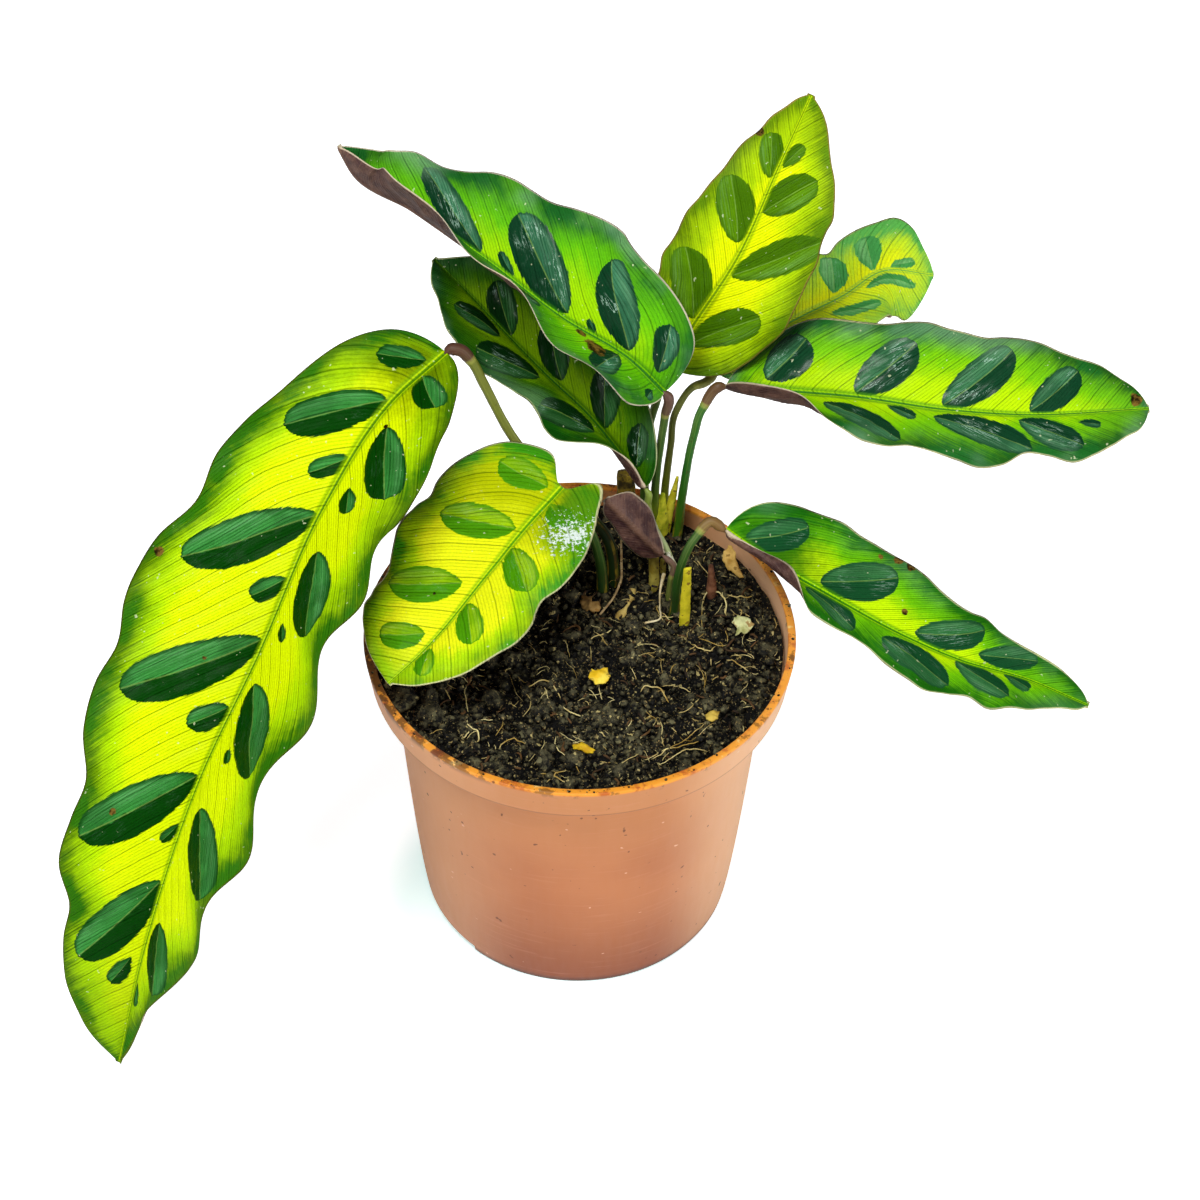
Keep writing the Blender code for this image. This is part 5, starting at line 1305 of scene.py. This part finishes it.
# 'places' are points along the piece, 'widths' and 'depths' its half sizes there, 'face' the way its
# broad side looks, and 'tones' its dark, pale and spot colours. 'extra' marks scraps of the scene alone.
REMAINS = {
    "yellow_sheath": dict(
        places=[(22.9, 39.3, 87), (23.9, 41.2, 96), (24.7, 42.2, 106), (25.7, 42.8, 113),
                (26.6, 43, 119)],
        widths=[0.7, 0.8, 1.1, 1.1, 0.4], depths=[0.5, 0.5, 0.5, 0.5, 0.3],
        face=(0.1, -1.0, 0.3), slot="sheath_yellow",
        tones=((206, 196, 30), (240, 232, 70), (130, 90, 24))),
    "leaf_8_sheath": dict(
        places=[(29, 8.5, 87), (29.1, 8.5, 96), (29.2, 8.6, 106), (29.4, 8.8, 117)],
        widths=[0.9, 1.5, 1.4, 1.1], depths=[0.5, 0.5, 0.5, 0.4],
        face=(0.3, -1.0, 0.3), slot="sheath_yellow",
        tones=((186, 176, 20), (222, 210, 40), (110, 70, 20))),
    "old_stalk": dict(
        places=[(12.3, 45.5, 87), (12.3, 46, 100), (12.1, 47, 116.5)],
        widths=[2.3, 2.6, 2.5], depths=[1.6, 1.8, 1.6],
        face=(0.0, -1.0, 0.2), slot="stalk_green", tones=((56, 44, 14), (170, 144, 40), (40, 26, 10))),
    "cut_stub_1": dict(
        places=[(20.6, 25, 87), (20.6, 25.3, 96), (20.3, 25.8, 104.5)],
        widths=[1.5, 1.5, 1.4], depths=[1.2, 1.2, 1.1],
        face=(0.0, -1.0, 0.2), slot="sheath_yellow",
        tones=((150, 130, 40), (196, 180, 80), (90, 60, 30))),
    "cut_stub_2": dict(
        places=[(23.1, 27.8, 88), (23.1, 28, 95), (23, 28.3, 100.5)],
        widths=[0.9, 0.9, 0.8], depths=[0.8, 0.8, 0.7],
        face=(0.0, -1.0, 0.2), slot="sheath_yellow",
        tones=((150, 130, 40), (196, 180, 80), (90, 60, 30))),
    "stem_wrap": dict(
        places=[(21.8, 40, 88), (22, 40.3, 97), (22.3, 41.2, 106), (22.6, 42.3, 113)],
        widths=[2.7, 2.6, 2.0, 0.6], depths=[1.5, 1.5, 1.3, 0.5],
        face=(0.0, -1.0, 0.3), extra=True, slot="stalk_green",
        tones=((170, 186, 20), (238, 236, 60), (60, 84, 8))),
    "pale_node": dict(
        places=[(26.1, 22.3, 99.3), (25.9, 23.0, 102.3), (24.9, 23.9, 105.5), (24.2, 24.4, 107.4)],
        widths=[0.9, 1.3, 0.9, 0.5], depths=[0.7, 0.9, 0.7, 0.3],
        face=(0.0, -1.0, 0.3), extra=True, slot="dry_straw",
        tones=((196, 196, 150), (240, 240, 220), (120, 130, 60))),
    "new_shoot": dict(
        places=[(37, 20.6, 88), (36.8, 20.7, 96), (36.6, 20.8, 101), (36.3, 21.1, 106)],
        widths=[1.7, 1.6, 1.2, 0.6], depths=[1.2, 1.2, 0.9, 0.5],
        face=(0.0, -1.0, 0.2), slot="dry_brown", tones=((96, 56, 36), (170, 116, 84), (60, 34, 22))),
    "dry_rod": dict(
        places=[(11, 23.9, 112.3), (11.2, 23.9, 103.3), (11.2, 23, 97.5), (9.5, 18.5, 95.8),
                (5.5, 11.5, 95.2)],
        widths=[0.3, 0.35, 0.35, 0.3, 0.3], depths=[0.3, 0.35, 0.35, 0.3, 0.3],
        face=(1.0, 0.0, 0.1), slot="dry_brown", tones=((150, 120, 80), (206, 180, 130), (90, 60, 36))),
    "dry_thread": dict(
        places=[(23.3, 23.5, 99.8), (22.3, 20, 96.5), (22.2, 15, 95.5), (22.1, 10, 95.3),
                (18.1, 8.4, 95.3)],
        widths=[0.6, 0.3, 0.25, 0.25, 0.3], depths=[0.5, 0.3, 0.25, 0.25, 0.3],
        face=(0.0, 0.2, 1.0), slot="dry_straw", tones=((196, 172, 120), (232, 220, 180), (150, 120, 80))),
    "dry_sprout": dict(
        places=[(14.6, 21, 95.8), (14, 17.5, 95.5), (12.4, 13.5, 95.3), (10.3, 9.7, 95.3)],
        widths=[0.9, 1.0, 0.5, 0.5, 1.3, 0.7], depths=[0.5, 0.5, 0.4, 0.4, 0.5, 0.4],
        face=(0.0, -0.2, 1.0), slot="dry_straw", tones=((170, 140, 70), (214, 190, 110), (120, 84, 40))),
}


def dry_skin(name, low, high, spot):
    """Withered plant skin: two tones, brown spots, and fine puckers."""
    material, w, shader = new_material(name, Specular_IOR_Level=0.3)
    place = w.place()
    blotch = w.noise(place, 260.0, 3.0, 0.6)
    spots = w.step(w.noise(place, 520.0, 2.0), 0.6, 0.68)
    colour = w.paint(w.mix(w.step(blotch, 0.35, 0.65), low, high), (spots, 0.8, spot))
    link_finish(w, shader, colour, w.ramp(blotch, 0.5, 0.85), w.noise(place, 900.0, 3.0), 0.8, 0.0003)
    return material


def remains_piece(name, remain, material):
    """Withered tube: widths along the path, with lengthwise folds that deepen towards the top."""
    t = np.linspace(0.0, 1.0, REMAINS_POINTS)
    places, way = along(remain["places"], t)
    vertices, faces, numbers = tube(places, way, smooth(remain["widths"], t), smooth(remain["depths"], t),
                                    np.asarray(remain["face"], float))
    body = vertices[:-2].reshape(len(t), STALK_SIDES, 3)
    angle = 2 * math.pi * np.arange(STALK_SIDES) / STALK_SIDES
    fold = 0.1 * np.sin(3 * angle)[None] * t[:, None]
    fold = fold + 0.08 * chance(t[:, None] * 30, angle[None] * 2, 1.0, len(name))
    body += (body - places[:, None]) * fold[..., None]
    return new_piece(f"{name}_dry", vertices, faces, [material], numbers)


for name, remain in REMAINS.items():
    low, high, spot = remain["tones"]
    piece = remains_piece(name, remain, dry_skin(f"{name}_skin", low, high, spot))
    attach(piece, "root")
    if not remain.get("extra"):
        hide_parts(name)


# Dry leaf scraps
# Six torn scraps of dead leaf lie on the peat, thin, cupped and straw yellow. They are lifted a
# little, so that the finer crumbs of the scene don't bury them.
FLAKE_LIFT = 0.8
FLAKE_THICKNESS = 0.35

# 'middle' is the place on the soil, 'turn' and 'lean' are in degrees, 'bulge' is the height of the
# cup, and 'outline' runs clockwise round the scrap.
FLAKES = {
    "flake_1": dict(
        middle=(43.0, 29.5), turn=0, lean=35, bulge=0.8, tones=((186, 138, 52), (232, 192, 104)),
        outline=[(-3.2, 1.0), (-2.6, 4.0), (-0.4, 5.0), (0.6, 3.4), (1.0, 0.4), (3.0, -3.8), (0.8, -3.4),
                 (-1.8, -1.2)]),
    "flake_2": dict(
        middle=(45.3, 6.6), turn=0, lean=12, bulge=0.6, tones=((160, 162, 96), (218, 220, 160)),
        outline=[(-3.1, 1.6), (-1.4, 3.2), (1.6, 2.6), (3.3, 0.4), (1.4, -1.8), (-1.9, -3.0),
                 (-1.4, -0.4)]),
    "flake_3": dict(
        middle=(5.8, -13.3), turn=20, lean=8, bulge=0.9, tones=((236, 190, 20), (250, 224, 80)),
        outline=[(-3.2, 0.8), (-1.4, 3.0), (0.4, 2.0), (3.0, 2.4), (2.6, -0.8), (0.8, -2.9),
                 (-2.1, -2.1)]),
    "flake_4": dict(
        middle=(1.6, -40.4), turn=-25, lean=0, bulge=1.2, tones=((196, 150, 10), (240, 206, 30)),
        outline=[(-3.4, 0.4), (-1.6, 1.6), (1.2, 1.7), (3.4, 0.8), (2.6, -0.8), (0.0, -0.9),
                 (-2.4, -1.0)]),
    "flake_5": dict(
        middle=(2.9, 14.6), turn=0, lean=10, bulge=0.7, tones=((110, 76, 30), (182, 146, 84)),
        outline=[(-3.2, 0.2), (-2.6, 3.0), (0.2, 2.8), (0.2, 0.6), (2.2, 0.8), (3.0, -1.4), (0.8, -2.6),
                 (-1.6, -2.0)]),
    "flake_6": dict(
        middle=(36.6, -27.0), turn=40, lean=6, bulge=0.6, tones=((150, 120, 36), (214, 184, 80)),
        outline=[(-2.2, 0.2), (-0.8, 1.7), (1.6, 1.4), (2.4, -0.2), (0.6, -1.6), (-1.4, -1.5)]),
}


def flake_piece(name, number, flake, material):
    """Cupped scrap: rings of its torn outline, drawn in towards the middle and raised by the bulge.

    The edge is made ragged by chance, and the same rings serve above and below a thin sheet.
    """
    box_low = np.asarray(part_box(name)[0]) / MM
    outline = np.asarray(flake["outline"], float)[::-1]
    count = len(outline)
    u = np.arange(count * 8) / 8.0
    corners = np.concatenate([outline, outline[:1]])
    edge = np.stack([np.interp(u, np.arange(count + 1.0), corners[:, axis]) for axis in (0, 1)], -1)
    angle = math.radians(flake["turn"])
    edge = edge @ np.array([[math.cos(angle), math.sin(angle)], [-math.sin(angle), math.cos(angle)]])
    edge *= 1.0 + 0.13 * chance(u * 4, u * 0, 1.0, 200 + number)[:, None]
    share = np.linspace(1.0, 0.08, 9)
    flat = edge[None] * share[:, None, None]
    rise = flake["bulge"] * (1 - share[:, None]**2)
    rise = rise + 0.5 * chance(flat[..., 0], flat[..., 1], 1.2, 220 + number)
    lean = math.radians(flake["lean"])
    x, y = flat[..., 0], flat[..., 1]
    base = np.stack([x, y * math.cos(lean), rise + y * math.sin(lean)], -1)
    base += (*flake["middle"], 0.0)
    base[..., 2] += box_low[2] - base[..., 2].min() + FLAKE_LIFT
    upper = base + (0.0, 0.0, FLAKE_THICKNESS)
    skin = closed_rings(np.concatenate([base[::-1], upper]), base[-1].mean(0), upper[-1].mean(0))
    return new_piece(f"{name}_scrap", *skin, [material])


for number, (name, flake) in enumerate(FLAKES.items()):
    low, high = flake["tones"]
    scrap = flake_piece(name, number, flake, dry_skin(f"{name}_skin", low, high, (150, 104, 40)))
    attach(scrap, "root")
    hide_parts(name)


# Floor, light and camera
# A seamless white table under large soft lights, seen from 46 degrees above the level through a
# long lens about a metre away, as fitted to the ellipses of the pot.
LOOK_AT = np.array([5.4, 0.0, 112.8])
DISTANCE = 1007.6
ELEVATION = math.radians(45.8)
ROLL = math.radians(1.07)
TABLE_REACH = 4000.0
LENS = 110.0
SENSOR = 36.0
SHADOW_MIDDLE = (-0.011, -0.016, 0.0)
SHADOW_INNER = 0.037
SHADOW_OUTER = 0.054


def white_table():
    """Matte board that looks evenly lit to the camera, and throws only a little light back up.

    Its glow is cooler and weaker to the left of the foot, where the pot's soft shadow lies.
    """
    material, w, shader = new_material("white_board", Specular_IOR_Level=0.1, Roughness=0.9,
                                       Emission_Strength=1.0)
    board = w.mix(w.noise(w.place(), 3.0), (248, 250, 252), (252, 252, 252))
    w.link(board, shader.inputs["Base Color"])
    seen = w.node("LightPath").outputs["Is Camera Ray"]
    away = w.node("VectorMath", {0: w.place(), 1: SHADOW_MIDDLE}, operation="DISTANCE").outputs["Value"]
    shadow = w.step(away, SHADOW_OUTER, SHADOW_INNER)
    glow = w.mix(shadow, (0.8, 0.81, 0.82, 1.0), (0.36, 0.54, 0.53, 1.0))
    w.link(w.mix(seen, (0.1, 0.1, 0.1, 1.0), glow), shader.inputs["Emission Color"])
    return material


def soft_light(name, place, power, size, colour):
    """Square area light that looks at the middle of the plant; lengths in metres."""
    light = bpy.data.lights.new(name, "AREA")
    light.energy = power
    light.size = size
    light.color = colour
    lamp = bpy.data.objects.new(name, light)
    lamp.location = place
    lamp.rotation_euler = (Vector(LOOK_AT * MM) - Vector(place)).to_track_quat("-Z", "Y").to_euler()
    bpy.context.scene.collection.objects.link(lamp)


table = [(x * TABLE_REACH, y * TABLE_REACH, 0.0) for x, y in ((-1, -1), (1, -1), (1, 1), (-1, 1))]
floor = new_piece("floor", table, [(0, 1, 2, 3)], [white_table()])
soft_light("overhead", (-0.25, -0.45, 1.3), 13.0, 0.55, (1.0, 1.0, 0.98))
soft_light("side", (1.15, -0.75, 0.75), 10.0, 0.6, (1.0, 0.99, 0.96))
soft_light("fill", (-1.1, -0.9, 0.6), 5.0, 0.7, (0.97, 0.99, 1.0))
world = bpy.data.worlds.new("white_room")
world.use_nodes = True
sky = Wiring(world.node_tree)
upward = sky.node("SeparateXYZ", {0: sky.node("TexCoord").outputs["Generated"]}).outputs[2]
backdrop = world.node_tree.nodes["Background"].inputs
bright_rim = sky.mix(sky.step(upward, 0.35, 0.05), (0.08, 0.08, 0.08, 1.0), (1.0, 1.0, 1.0, 1.0))
sky.link(bright_rim, backdrop["Color"])
backdrop["Strength"].default_value = 0.6
bpy.context.scene.world = world
bpy.context.scene.view_settings.view_transform = "Standard"

backward = np.array([0.0, -math.cos(ELEVATION), math.sin(ELEVATION)])
level = np.array([1.0, 0.0, 0.0])
upright = np.array([0.0, math.sin(ELEVATION), math.cos(ELEVATION)])
right = math.cos(ROLL) * level + math.sin(ROLL) * upright
up = math.cos(ROLL) * upright - math.sin(ROLL) * level
camera = bpy.data.objects.new("camera", bpy.data.cameras.new("camera"))
camera.data.lens = LENS
camera.data.sensor_width = SENSOR
camera.data.clip_start = 0.01
turn = Matrix((right, up, backward)).transposed().to_4x4()
camera.matrix_world = Matrix.Translation(Vector((LOOK_AT + backward * DISTANCE) * MM)) @ turn
bpy.context.scene.collection.objects.link(camera)
bpy.context.scene.camera = camera
